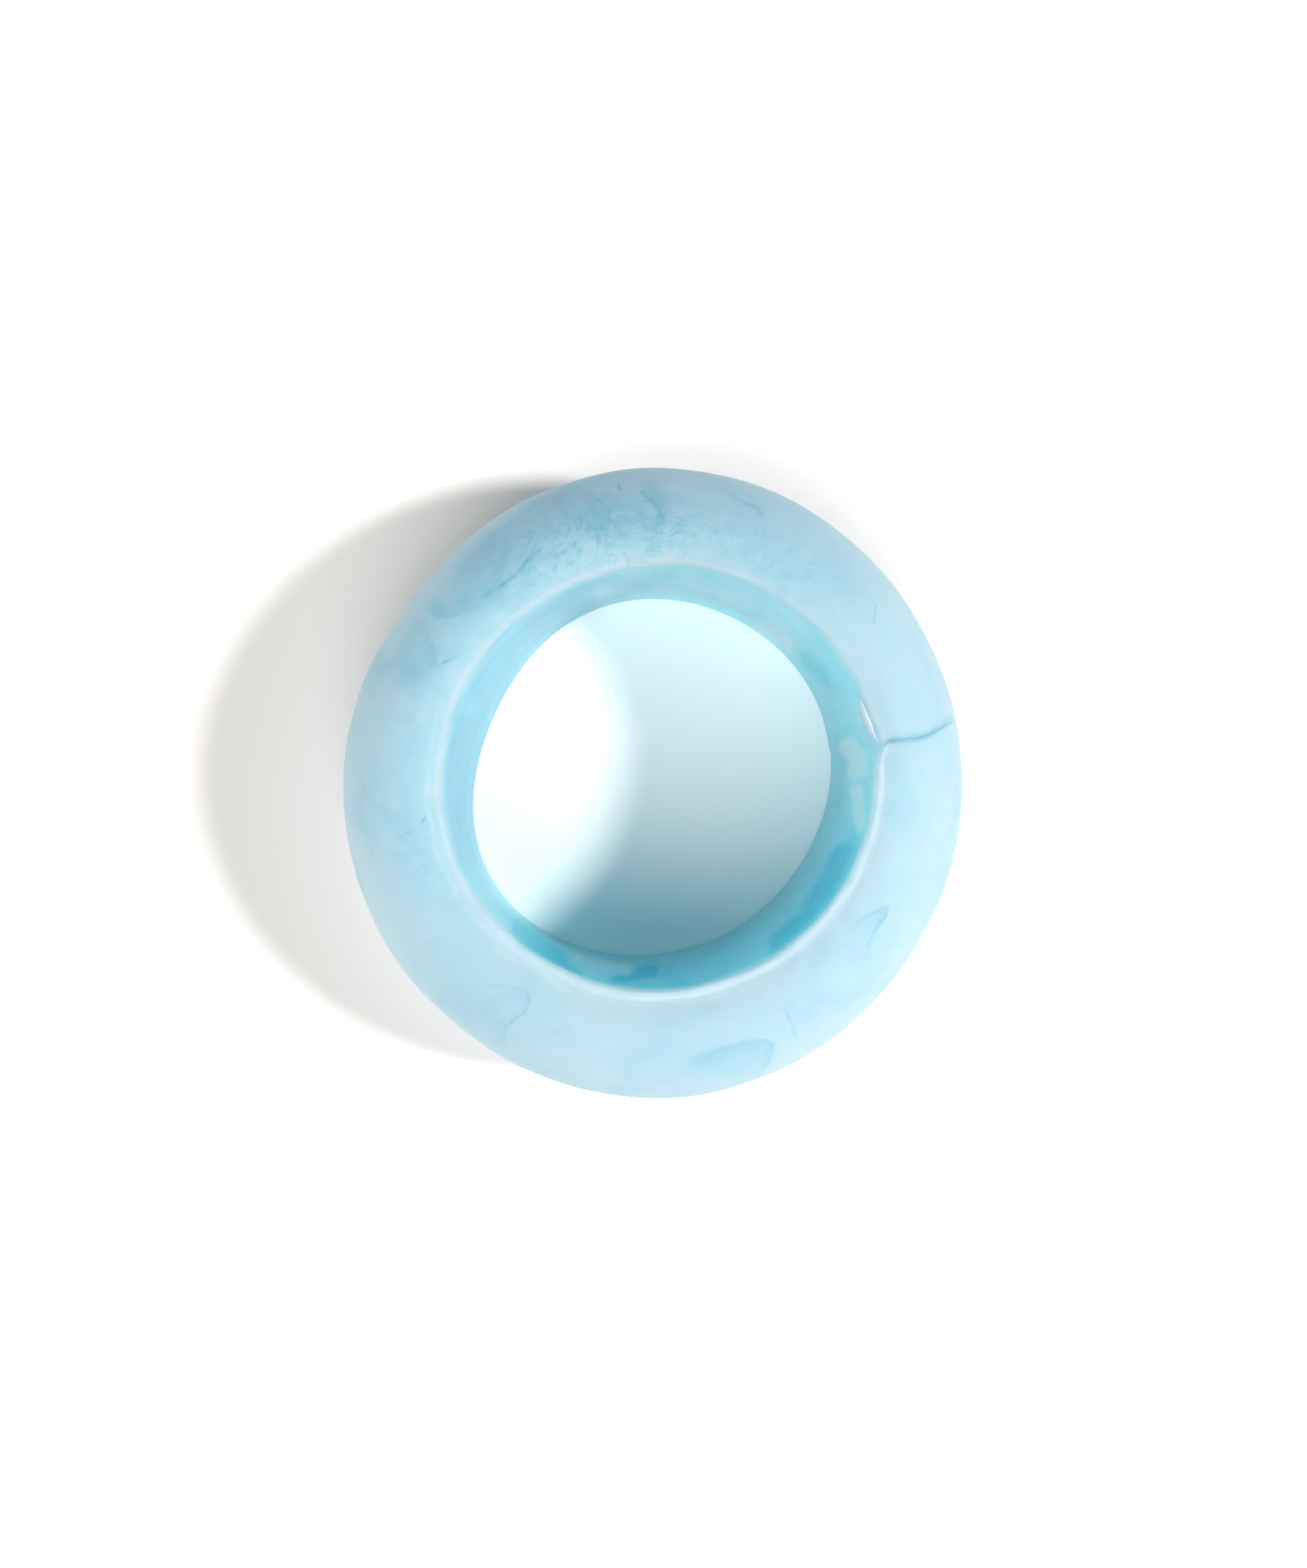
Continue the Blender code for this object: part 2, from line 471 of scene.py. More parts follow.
def mesh_object(name: str, points: Array, faces: Array, fields: dict[str, Array]) -> bpy.types.Object:
    """A smooth mesh object from whole arrays.

    Args:
        name: Name of the piece.
        points: Places of its points.
        faces: Point numbers of its quads.
        fields: Values to be kept on the points, by name.

    Returns:
        The object, linked to the scene.
    """
    flat = points.reshape(-1, 3)
    mesh = bpy.data.meshes.new(name)
    mesh.vertices.add(len(flat))
    mesh.vertices.foreach_set("co", np.ascontiguousarray(flat, np.float32).ravel())
    mesh.loops.add(faces.size)
    mesh.loops.foreach_set("vertex_index", faces.astype(np.int32).ravel())
    mesh.polygons.add(len(faces))
    mesh.polygons.foreach_set("loop_start", np.arange(len(faces), dtype=np.int32) * faces.shape[1])
    mesh.update(calc_edges=True)
    mesh.validate()
    mesh.shade_smooth()
    for field_name, values in fields.items():
        layer = mesh.attributes.new(field_name, "FLOAT", "POINT")
        layer.data.foreach_set("value", np.ascontiguousarray(values, np.float32).ravel())
    piece = bpy.data.objects.new(name, mesh)
    bpy.context.scene.collection.objects.link(piece)
    return piece


@dataclass(frozen=True)
class Vein:
    """A thin line of deeper colour: its way in the photograph's pixels, half width and strength."""

    way: tuple[Pixel, ...]
    half_width: float
    strength: float


@dataclass(frozen=True)
class Plume:
    """A soft cloud of deeper or paler colour along a way, with its spread in pixels."""

    way: tuple[Pixel, ...]
    spread: float
    strength: float


@dataclass(frozen=True)
class Lobe:
    """A cloud with a crisp edge: its outline in the photograph's pixels and its strength.

    It is strongest at one place and fades away towards another.
    """

    outline: tuple[Pixel, ...]
    strength: float
    full: Pixel
    faint: Pixel
    fade: Ramp = Ramp(0.0, 1.0, 1.0, 0.1)

    def shade(self, places: Array) -> Array:
        """Strength of the cloud at pixel places: a smooth step from its full place to its faint one."""
        way = np.subtract(self.faint, self.full)
        return self.strength * self.fade.at((places - self.full) @ way / (way @ way))


class Veins(Enum):
    """The veins that show in the photograph."""

    UPPER_LEFT = Vein(((724, 733), (708, 749), (698, 761), (684, 775), (667, 786), (645, 801)), 3.0, 1.0)
    TOP = Vein(((856, 655), (866, 665), (877, 676), (885, 688), (890, 702)), 3.4, 0.75)
    LEFT_TICK = Vein(((586, 892), (600, 885), (616, 877)), 2.4, 0.7)
    TOP_RIGHT = Vein(((959, 649), (991, 669), (1013, 682), (1025, 697)), 3.6, 0.4)
    RIGHT = Vein(((1167, 798), (1173, 818), (1170, 832), (1179, 850)), 2.4, 0.35)
    LEFT_HAIR = Vein(((530, 1122), (544, 1117), (558, 1110)), 2.2, 0.4)
    LEFT_SPOT = Vein(((563, 1105), (567, 1099), (571, 1092)), 2.6, 0.7)
    HOOK = Vein(((600, 1320), (660, 1320), (698, 1325), (708, 1337), (705, 1354), (687, 1367),
                 (675, 1381), (678, 1403)), 2.6, 0.33)
    LEAF_EDGE = Vein(((1012, 1393), (1031, 1395), (1037, 1406), (1029, 1423), (1010, 1446)), 3.0, 0.22)
    BESIDE_LEAF = Vein(((1042, 1346), (1057, 1363), (1068, 1394)), 3.0, 0.3)
    FOLD = Vein(((1137, 1242), (1157, 1229), (1189, 1213), (1185, 1226), (1174, 1242), (1162, 1268),
                 (1157, 1288)), 3.0, 0.32)
    LEFT_FLECK = Vein(((695, 722), (705, 717), (715, 711)), 2.2, 0.55)
    TOP_FLECK = Vein(((826, 648), (829, 653), (831, 657)), 2.4, 0.8)
    MIDDLE_FLECK = Vein(((798, 668), (803, 671), (808, 676)), 2.4, 0.7)
    LOW_FLECK = Vein(((758, 756), (764, 755), (769, 752)), 3.0, 0.6)


class Plumes(Enum):
    """The soft clouds on the outside; the two arches over the top and the cloud along the crease are
    painted shade.
    """

    UPPER_LEFT_FALL = Plume(((560, 838), (574, 856), (583, 876), (588, 892)), 12.0, 0.12)
    UPPER_LEFT_TAIL = Plume(((585, 820), (610, 815), (640, 803), (668, 789)), 11.0, 0.15)
    LEFT_SHOULDER = Plume(((500, 890), (535, 880), (560, 900)), 22.0, 0.14)
    TOP = Plume(((870, 655), (882, 672), (888, 690)), 10.0, 0.4)
    TOP_RIGHT = Plume(((935, 640), (985, 660), (1020, 690)), 14.0, 0.2)
    FEATHER = Plume(((730, 700), (790, 690), (850, 720)), 28.0, 0.22)
    LEAF = Plume(((940, 1416), (970, 1406), (1005, 1402)), 12.0, 0.18)
    HOOK = Plume(((600, 1345), (640, 1355), (672, 1375)), 24.0, 0.2)
    LEFT = Plume(((545, 1160), (575, 1190), (600, 1210)), 26.0, 0.17)
    FOLD = Plume(((1110, 1262), (1090, 1290)), 14.0, 0.22)
    ABOVE_JOIN = Plume(((1262, 905), (1276, 932)), 9.0, 0.3)
    BELOW_JOIN = Plume(((1276, 1060), (1284, 1090)), 8.0, 0.25)
    FAR_LEFT = Plume(((470, 960), (480, 1040), (490, 1110)), 16.0, 0.15)
    # Painted shade along the crease of the join.
    CREASE_PAINTED_SHADE = Plume(((1190, 990), (1220, 988), (1242, 983), (1258, 973), (1271, 962)), 6.0, 0.55)
    # Painted shade: the top and the upper left are made deeper, where they lie away from the lamps.
    TOP_ARCH_PAINTED_SHADE = Plume(((690, 770), (780, 715), (875, 700), (980, 715), (1070, 765)), 58.0, 0.33)
    LEFT_ARCH_PAINTED_SHADE = Plume(((560, 900), (620, 830), (690, 770)), 40.0, 0.2)


class Lobes(Enum):
    """The clouds with a crisp edge, on the outside."""

    LEAF = Lobe(((869, 1464), (890, 1440), (915, 1424), (940, 1410), (965, 1402), (998, 1394),
                 (1028, 1392), (1037, 1404), (1031, 1422), (1012, 1446), (980, 1466), (930, 1476)),
                0.33, (985, 1405), (885, 1462))
    FOLD = Lobe(((1122, 1254), (1140, 1238), (1160, 1226), (1189, 1213), (1184, 1232), (1174, 1248),
                 (1164, 1268), (1157, 1294), (1138, 1290)), 0.22, (1189, 1213), (1140, 1285))
    UPPER_LEFT_TAIL = Lobe(((572, 814), (590, 810), (615, 800), (643, 785), (664, 790), (645, 812),
                            (615, 824), (594, 829), (580, 826)), 0.26, (583, 824), (660, 790))
    UPPER_LEFT_FALL = Lobe(((545, 838), (562, 836), (577, 856), (585, 878), (588, 896), (574, 890),
                            (556, 874), (546, 856)), 0.28, (586, 876), (546, 862))
    BESIDE_LEAF = Lobe(((1043, 1345), (1056, 1352), (1066, 1375), (1072, 1400), (1092, 1390),
                        (1082, 1360), (1062, 1340)), 0.14, (1048, 1350), (1085, 1385))
    LOWER_RIGHT = Lobe(((1078, 1345), (1100, 1330), (1125, 1340), (1130, 1362), (1115, 1385),
                        (1090, 1392), (1076, 1372)), 0.12, (1100, 1332), (1110, 1390))
    HOOK = Lobe(((655, 1335), (690, 1325), (708, 1340), (700, 1360), (678, 1380), (672, 1400),
                 (650, 1385), (640, 1355)), 0.14, (703, 1340), (650, 1375))


class DeepAndGlowPatches(Enum):
    """The deep blue patches on the inner wall, partly deeper resin and partly painted glow of light through
    the resin, strongest low on the left and right.
    """

    # Painted glow of light through the resin on the lower left wall.
    LOWER_LEFT = Plume(((700, 1244), (720, 1268), (740, 1288)), 17.0, 1.5)
    LOWER_LEFT_TAIL = Plume(((745, 1292), (768, 1304)), 14.0, 0.9)
    BLADE = Plume(((824, 1313), (848, 1306), (872, 1298)), 10.0, 0.8)
    BOTTOM = Plume(((900, 1316), (935, 1319), (975, 1314)), 10.0, 0.3)
    # Painted glow of light through the resin on the lower right wall.
    LOWER_RIGHT = Plume(((1050, 1268), (1080, 1244), (1104, 1213), (1118, 1186), (1132, 1158)), 21.0, 1.5)
    RIGHT_TAIL = Plume(((1130, 1158), (1150, 1112)), 12.0, 0.5)
    UPPER_RIGHT = Plume(((1080, 880), (1100, 900), (1118, 922)), 14.0, 0.6)


class MilkAndReflectionPatches(Enum):
    """The milky patches on the inner wall, partly milky resin; those on the right side are painted
    reflections of the lit floor.
    """

    # Painted reflections on the right wall.
    BELOW_JOIN = Plume(((1136, 1002), (1148, 1015), (1148, 1032)), 13.0, 1.1)
    RIGHT = Plume(((1148, 1060), (1150, 1085), (1152, 1108)), 10.0, 1.0)
    UPPER_RIGHT = Plume(((1020, 850), (1048, 866)), 16.0, 0.7)
    ABOVE_JOIN = Plume(((1140, 922), (1147, 945), (1150, 962)), 9.0, 0.5)
    BOTTOM = Plume(((776, 1280), (806, 1291), (838, 1297)), 12.0, 0.75)
    TOP = Plume(((810, 784), (900, 774), (1000, 796), (1060, 836)), 38.0, 0.40)


class BrightPatches(Enum):
    """The bright blue patches on the inner wall."""

    UPPER_LEFT = Plume(((694, 852), (672, 880), (650, 912), (634, 945)), 24.0, 0.6)
    LOWER_LEFT = Plume(((620, 1150), (645, 1190), (680, 1228)), 12.0, 0.5)


class Webs(Enum):
    """The pale web of resin in the notch of the join."""

    NOTCH = Plume(((1158, 984), (1168, 996), (1176, 1002), (1172, 1012)), 9.0, 1.0)


CLOUDS: dict[str, type[Enum]] = {
    "plume": Plumes, "wall_deep_and_glow": DeepAndGlowPatches, "wall_milk_and_reflection": MilkAndReflectionPatches, "wall_bright": BrightPatches,
    "web": Webs}


def curve_through(way: tuple[Pixel, ...]) -> Array:
    """Points on a smooth curve through a few chosen ones.

    Args:
        way: The chosen points.

    Returns:
        Points of a Catmull-Rom curve, worked out as one cubic for each stretch.
    """
    knots = np.array(way, float)
    if len(knots) == 2:
        return knots[0] + (knots[1] - knots[0]) * np.linspace(0.0, 1.0, CURVE_POINTS)[:, None]
    padded = np.concatenate((2 * knots[:1] - knots[1:2], knots, 2 * knots[-1:] - knots[-2:-1]))
    place = np.linspace(0.0, len(knots) - 1 - CURVE_STOP, CURVE_POINTS)
    index = place.astype(int)
    t = (place - index)[:, None]
    before, start, end, after = (padded[index + step] for step in range(4))
    return 0.5 * (2 * start + (end - before) * t + (2 * before - 5 * start + 4 * end - after) * t ** 2
                  + (3 * start - before - 3 * end + after) * t ** 3)


def nearest_on(curve: Array, places: Array) -> tuple[Array, Array, Array]:
    """Nearest point of a curve to each place.

    Args:
        curve: Points of the curve.
        places: Places on a plane.

    Returns:
        The distance, its sign by the side of the curve, and the share of the way along it.
    """
    gaps = places[:, None, :] - curve[None, :, :]
    squares = (gaps ** 2).sum(axis=-1)
    nearest = squares.argmin(axis=1)
    distance = np.sqrt(np.take_along_axis(squares, nearest[:, None], axis=1)[:, 0])
    ahead = np.gradient(curve, axis=0)[nearest]
    gap = np.take_along_axis(gaps, nearest[:, None, None], axis=1)[:, 0]
    side = np.sign(ahead[:, 0] * gap[:, 1] - ahead[:, 1] * gap[:, 0])
    return distance, side, nearest / (len(curve) - 1)


def inside_distance(outline: Array, places: Array) -> Array:
    """Distance of places from a closed outline, over 0 inside it.

    The sign comes from the count of edges that a level line to the right of a place crosses.

    Args:
        outline: Corners of the outline, in order.
        places: Places on a plane.

    Returns:
        Signed distances.
    """
    ends = np.roll(outline, -1, axis=0)
    edges = ends - outline
    gaps = places[:, None, :] - outline
    share = np.clip((gaps * edges).sum(axis=-1) / np.maximum((edges ** 2).sum(axis=-1), TINY), 0.0, 1.0)
    distance = np.linalg.norm(gaps - share[..., None] * edges, axis=-1).min(axis=1)
    level = places[:, 1:]
    spans = (outline[:, 1] > level) != (ends[:, 1] > level)
    rise = np.where(edges[:, 1] == 0.0, 1.0, edges[:, 1])
    crossing = outline[:, 0] + (level - outline[:, 1]) / rise * edges[:, 0]
    within = (spans & (places[:, :1] < crossing)).sum(axis=1) % 2 == 1
    return np.where(within, distance, -distance)


@dataclass(frozen=True)
class Marbling:
    """How the marbling is kept on the points: the veins' sizes in half widths, the lobes' in pixels."""

    vein_reach: float = 6.0
    vein_limit: float = 9.0
    vein_taper: float = 0.6
    lobe_limit: float = 30.0
    far_outside: float = -99.0

    def veins(self, places: Array) -> dict[str, Array]:
        """The nearest vein at each place.

        Args:
            places: Pixel places of the points.

        Returns:
            A signed distance in half widths, so that the line stays sharp between points, and a
            strength that tapers to the vein's ends by a power of a half sine.
        """
        best = np.zeros(len(places))
        strengths = np.zeros(len(places))
        sides = np.full(len(places), self.vein_limit)
        for vein in (member.value for member in Veins):
            distance, side, along = nearest_on(curve_through(vein.way), places)
            strength = vein.strength * np.sin(math.pi * along) ** self.vein_taper
            score = strength * Bell(0.0, self.vein_reach * vein.half_width).at(distance)
            offset = np.clip(side * distance / vein.half_width, -self.vein_limit, self.vein_limit)
            chosen = score > best
            best = np.where(chosen, score, best)
            sides = np.where(chosen, offset, sides)
            strengths = np.where(chosen, strength, strengths)
        return {"vein_side": sides, "vein_strength": strengths}

    def lobes(self, places: Array) -> dict[str, Array]:
        """The lobe that each place lies in, or is nearest to.

        Args:
            places: Pixel places of the points.

        Returns:
            A distance from its edge, over 0 inside, and its strength.
        """
        sides = np.full(len(places), self.far_outside)
        strengths = np.zeros(len(places))
        for lobe in (member.value for member in Lobes):
            side = inside_distance(curve_through(lobe.outline + lobe.outline[:1]), places)
            strengths = np.where(side > sides, lobe.shade(places), strengths)
            sides = np.maximum(side, sides)
        return {"lobe_side": np.clip(sides, -self.lobe_limit, self.lobe_limit), "lobe_strength": strengths}

    def clouds(self, kind: type[Enum], places: Array) -> Array:
        """Sum of a kind of cloud, each a bell curve of the distance to its way.

        Args:
            kind: The clouds.
            places: Pixel places of the points.

        Returns:
            The cover at each place.
        """
        cover = np.zeros(len(places))
        for plume in (member.value for member in kind):
            distance, _, _ = nearest_on(curve_through(plume.way), places)
            cover += plume.strength * Bell(0.0, plume.spread).at(distance)
        return cover

    def fields(self, places: Array) -> dict[str, Array]:
        """Values by name that draw the marbling at pixel places."""
        clouds = {name: self.clouds(kind, places) for name, kind in CLOUDS.items()}
        return {**self.veins(places), **self.lobes(places), **clouds}


@dataclass(frozen=True)
class Grain:
    """A fractal noise in space: its scale per metre, its octaves and their roughness."""

    scale: float
    detail: float
    rough: float


@dataclass(frozen=True)
class Push:
    """A slow noise that pushes places aside: its scale per metre, its amount in metres and its octaves."""

    scale: float
    amount: float
    detail: float = 2.0
    rough: float = 0.5


@dataclass(frozen=True)
class Pattern:
    """A noise that a ramp turns to shares, on places that are pushed aside first where it has a push."""

    grain: Grain
    ramp: Ramp
    push: Push | None = None


class Graph:
    """Short ways to add and join a material's nodes."""

    def __init__(self, tree: bpy.types.NodeTree) -> None:
        """Keeps the tree that nodes are added to."""
        self.tree = tree

    def add(self, kind: str, **settings: object) -> bpy.types.Node:
        """A new node.

        Args:
            kind: The node's type.
            **settings: Its properties by name.

        Returns:
            The node.
        """
        node = self.tree.nodes.new(kind)
        for name, value in settings.items():
            setattr(node, name, value)
        return node

    def put(self, socket: Socket, value: object) -> None:
        """Links a socket to an output, or sets its value.

        Args:
            socket: The socket.
            value: An output, a number, a colour or a vector.
        """
        if isinstance(value, bpy.types.NodeSocket):
            self.tree.links.new(value, socket)
        elif isinstance(value, tuple) and socket.type == "RGBA":
            socket.default_value = (*value, 1.0)
        else:
            socket.default_value = value

    def field(self, name: str) -> Socket:
        """The value kept on the mesh under a name."""
        return self.add("ShaderNodeAttribute", attribute_name=name).outputs["Fac"]

    def calc(self, operation: str, first: object, second: object = 0.0, kind: str = VALUES) -> Socket:
        """The result of an operation on one or two values or places.

        Args:
            operation: The node's operation.
            first: The first value.
            second: The second value.
            kind: Whether values or places are worked out.

        Returns:
            The result.
        """
        node = self.add(kind, operation=operation)
        self.put(node.inputs[0], first)
        self.put(node.inputs[1], second)
        return node.outputs[0]

    def times(self, first: object, *others: object) -> Socket:
        """The product of values.

        Args:
            first: The first value.
            *others: The other values.

        Returns:
            The product.
        """
        product = first
        for value in others:
            product = self.calc("MULTIPLY", product, value)
        return product

    def step(self, value: object, ramp: Ramp) -> Socket:
        """A smooth step of a value.

        Args:
            value: The value.
            ramp: The ranges that it goes from and to.

        Returns:
            The result.
        """
        node = self.add("ShaderNodeMapRange", interpolation_type="SMOOTHSTEP")
        for socket, setting in zip(node.inputs, (value, ramp.low, ramp.high, ramp.start, ramp.end)):
            self.put(socket, setting)
        return node.outputs[0]

    def mix(self, share: object, first: object, second: object) -> Socket:
        """One colour mixed with another.

        Args:
            share: Share of the second colour.
            first: The first colour.
            second: The second colour.

        Returns:
            The mixed colour.
        """
        node = self.add("ShaderNodeMix", data_type="RGBA")
        for place, value in ((0, share), (MIX_FIRST, first), (MIX_SECOND, second)):
            self.put(node.inputs[place], value)
        return node.outputs[MIX_RESULT]

    def noise(self, where: Socket, grain: Grain | Push, output: str = "Fac") -> Socket:
        """Fractal noise in space.

        Args:
            where: Places.
            grain: Its scale, octaves and roughness.
            output: Whether it is wanted as a value or as a colour.

        Returns:
            The noise.
        """
        node = self.add("ShaderNodeTexNoise")
        settings = {"Vector": where, "Scale": grain.scale, "Detail": grain.detail, "Roughness": grain.rough}
        for name, value in settings.items():
            self.put(node.inputs[name], value)
        return node.outputs[output]

    def swing(self, where: Socket, grain: Grain) -> Socket:
        """Fractal noise about 0."""
        return self.calc("SUBTRACT", self.noise(where, grain), NOISE_MIDDLE)

    def warp(self, where: Socket, push: Push) -> Socket:
        """Places pushed aside by a slow noise about 0, so that what is drawn on them swirls.

        Args:
            where: Places.
            push: The noise and its amount.

        Returns:
            The pushed places.
        """
        way = self.calc("SUBTRACT", self.noise(where, push, "Color"), (NOISE_MIDDLE,) * 3, PLACES)
        way = self.calc("MULTIPLY", way, (push.amount,) * 3, PLACES)
        return self.calc("ADD", where, way, PLACES)

    def pattern(self, where: Socket, pattern: Pattern) -> Socket:
        """Shares of a pattern at places."""
        place = self.warp(where, pattern.push) if pattern.push else where
        return self.step(self.noise(place, pattern.grain), pattern.ramp)


def new_material(name: str) -> tuple[bpy.types.Material, Graph]:
    """A new material with nodes.

    Args:
        name: Name of the material.

    Returns:
        The material and its nodes, with a Principled shader among them.
    """
    material = bpy.data.materials.new(name)
    material.use_nodes = True
    return material, Graph(material.node_tree)


@dataclass(frozen=True)
class MarbledResin:
    """Milky marbled resin: pale and satin outside, deeper and glossy on the inner wall, whose colours carry
    painted light and shade.
    """

    pale: Colour = (0.515, 0.685, 0.81)
    cloud: Colour = (0.45, 0.645, 0.78)
    milk: Colour = (0.55, 0.73, 0.85)
    # A paler, greyer colour that the left belly is made towards.
    left_belly_tint: Colour = (0.58, 0.71, 0.79)
    deep: Colour = (0.15, 0.45, 0.58)
    # Paler and brighter than the resin's own blue: a painted glow of light through the resin on the wall's
    # shaded sides.
    inner: Colour = (0.36, 0.765, 0.90)
    # Deeper blue of the resin, also used for the painted glow patches.
    inner_deep: Colour = (0.02, 0.61, 0.73)
    # Painted glow: the wall's foot is made a brighter cyan, standing in for floor light and light through
    # the resin.
    inner_foot_painted_glow: Colour = (0.42, 0.95, 1.0)
    # The wall's colour where the key lamp lights it, made darker: painted shade that offsets the lamp.
    inner_lit_side_painted_shade: Colour = (0.185, 0.485, 0.625)
    # Pale patches of the wall: partly milky resin, partly painted reflection.
    inner_milk_and_reflection: Colour = (0.72, 0.87, 0.97)
    inner_bright: Colour = (0.17, 0.60, 0.75)
    inner_top: Colour = (0.40, 0.72, 0.83)
    web: Colour = (0.54, 0.72, 0.84)
    # Pale band along the top rim: partly a sanded edge, partly painted sheen, stronger on the crisp side
    # and weaker on the shaded upper left.
    edge: Colour = (0.59, 0.83, 0.93)
    # Colour of the painted highlight lines along the rim's rounding.
    highlight_colour: Colour = (0.68, 0.88, 0.96)

    swirl: Push = Push(45.0, 0.02)
    clouds: Pattern = Pattern(Grain(75.0, 4.0, 0.55), Ramp(0.42, 0.68))
    milkiness: Pattern = Pattern(Grain(120.0, 3.0, 0.5), Ramp(0.55, 0.75, 0.0, 0.45), Push(60.0, 0.012))
    veils: Pattern = Pattern(Grain(60.0, 6.0, 0.58), Ramp(0.47, 0.55, 0.0, 0.17), Push(35.0, 0.03))
    plumes: Pattern = Pattern(Grain(330.0, 4.0, 0.6), Ramp(0.25, 0.7, 0.33, 0.81))
    flecks: Grain = Grain(600.0, 5.0, 0.62)
    fleck_push: Push = Push(240.0, 0.006)
    dark_flecks: Ramp = Ramp(0.53, 0.66, 0.0, 0.5)
    pale_flecks: Ramp = Ramp(0.46, 0.36, 0.0, 0.35)
    threads: Grain = Grain(170.0, 4.0, 0.55)
    thread_push: Push = Push(150.0, 0.008)
    thread_line: Ramp = Ramp(0.0, 0.035, 0.28, 0.0)
    wander: Grain = Grain(700.0, 3.0, 0.6)
    vein_wander: float = 2.4
    vein_line: Ramp = Ramp(0.15, 1.5, 1.0, 0.0)
    vein_breaks: Pattern = Pattern(Grain(480.0, 2.0, 0.5), Ramp(0.36, 0.6, 0.45, 1.0))
    lobe_wander: float = 9.0
    lobe_edge: Ramp = Ramp(-2.0, 2.5)
    lobe_heart: Ramp = Ramp(2.0, 20.0, 1.0, 0.4)
    # Noise of the rim's pale band, sanded edge and painted sheen together.
    sanding_and_sheen: Pattern = Pattern(Grain(240.0, 4.0, 0.6), Ramp(0.3, 0.62, 0.45, 1.0))
    # Breaks up the painted highlight lines.
    painted_highlight: Pattern = Pattern(Grain(380.0, 4.0, 0.6), Ramp(0.34, 0.6, 0.35, 0.95), Push(300.0, 0.004))
    wall_stretch: tuple[float, float, float] = (1.0, 1.0, 0.4)
    blotches: Pattern = Pattern(Grain(105.0, 3.0, 0.55), Ramp(0.5, 0.7, 0.0, 0.3), Push(70.0, 0.02))
    drift: Grain = Grain(95.0, 3.0, 0.55)
    drift_push: Push = Push(55.0, 0.02)
    drift_size: float = 1.6
    drift_hold: Ramp = Ramp(0.0, 0.5)
    patch_edge: Ramp = Ramp(0.1, 0.9)
    wall_edge: Ramp = Ramp(0.70, 1.0, 0.0, 0.88)

    satin_to_gloss: Ramp = Ramp(0.0, 1.0, 0.55, 0.30)
    dullness: Grain = Grain(420.0, 3.0, 0.6)
    dullness_size: float = 0.08
    bumps: Grain = Grain(260.0, 4.0, 0.55)
    bump_strength: float = 0.10
    bump_distance: float = 0.0003
    scatter: Colour = (0.25, 0.85, 1.0)
    scatter_depth: float = 0.040
    scatter_weight: Ramp = Ramp(0.0, 0.8, 1.0, 0.05)
    refraction: float = 1.5
    mirror: float = 0.26

    def material(self, name: str) -> bpy.types.Material:
        """The node material.

        Args:
            name: Name of the material.

        Returns:
            A Principled material on Object coordinates and on the values kept on the mesh.
        """
        material, graph = new_material(name)
        where = graph.add("ShaderNodeTexCoord").outputs["Object"]
        swirl = graph.warp(where, self.swirl)
        inside = graph.field("inside")
        polished = graph.calc("MAXIMUM", inside, graph.field("rim"))
        dull = graph.times(graph.noise(where, self.dullness), self.dullness_size)
        bump = graph.add("ShaderNodeBump")
        outside = graph.calc("SUBTRACT", 1.0, inside)
        heights = graph.times(graph.noise(swirl, self.bumps), outside)
        settings = {"Strength": self.bump_strength, "Distance": self.bump_distance, "Height": heights}
        for socket, value in settings.items():
            graph.put(bump.inputs[socket], value)
        settings = {
            "Base Color": self.colour(graph, where, swirl, inside),
            "Roughness": graph.calc("ADD", graph.step(polished, self.satin_to_gloss), dull),
            "Normal": bump.outputs[0],
            "Subsurface Weight": graph.step(graph.field("thin"), self.scatter_weight),
            "Subsurface Radius": self.scatter,
            "Subsurface Scale": self.scatter_depth,
            "IOR": self.refraction,
            "Specular IOR Level": self.mirror,
        }
        shader = material.node_tree.nodes["Principled BSDF"]
        for socket, value in settings.items():
            graph.put(shader.inputs[socket], value)
        return material

    def colour(self, graph: Graph, where: Socket, swirl: Socket, inside: Socket) -> Socket:
        """The marbled colour: clouds, feathering and veins, then the rim's pale band of sanded edge and
        painted sheen, the painted highlight lines, and the inner wall.

        Args:
            graph: The material's nodes.
            where: Object coordinates.
            swirl: Object coordinates pushed aside by a slow noise.
            inside: 0 on the outside to 1 on the inner wall.

        Returns:
            The colour.
        """
        colour = self.clouded(graph, where, swirl)
        colour = self.feathered(graph, swirl, colour)
        colour = self.veined(graph, where, colour)
        # The rim's pale band: sanded edge with painted sheen.
        sanding_and_sheen = graph.times(graph.field("rim"), graph.pattern(where, self.sanding_and_sheen))
        colour = graph.mix(sanding_and_sheen, colour, self.edge)
        # Painted highlight lines along the rim, broken up by noise.
        painted_highlight = graph.times(graph.field("painted_highlight_lines"), graph.pattern(where, self.painted_highlight))
        colour = graph.mix(painted_highlight, colour, self.highlight_colour)
        colour = graph.mix(graph.step(inside, self.wall_edge), colour, self.wall(graph, where))
        return graph.mix(graph.field("web"), colour, self.web)

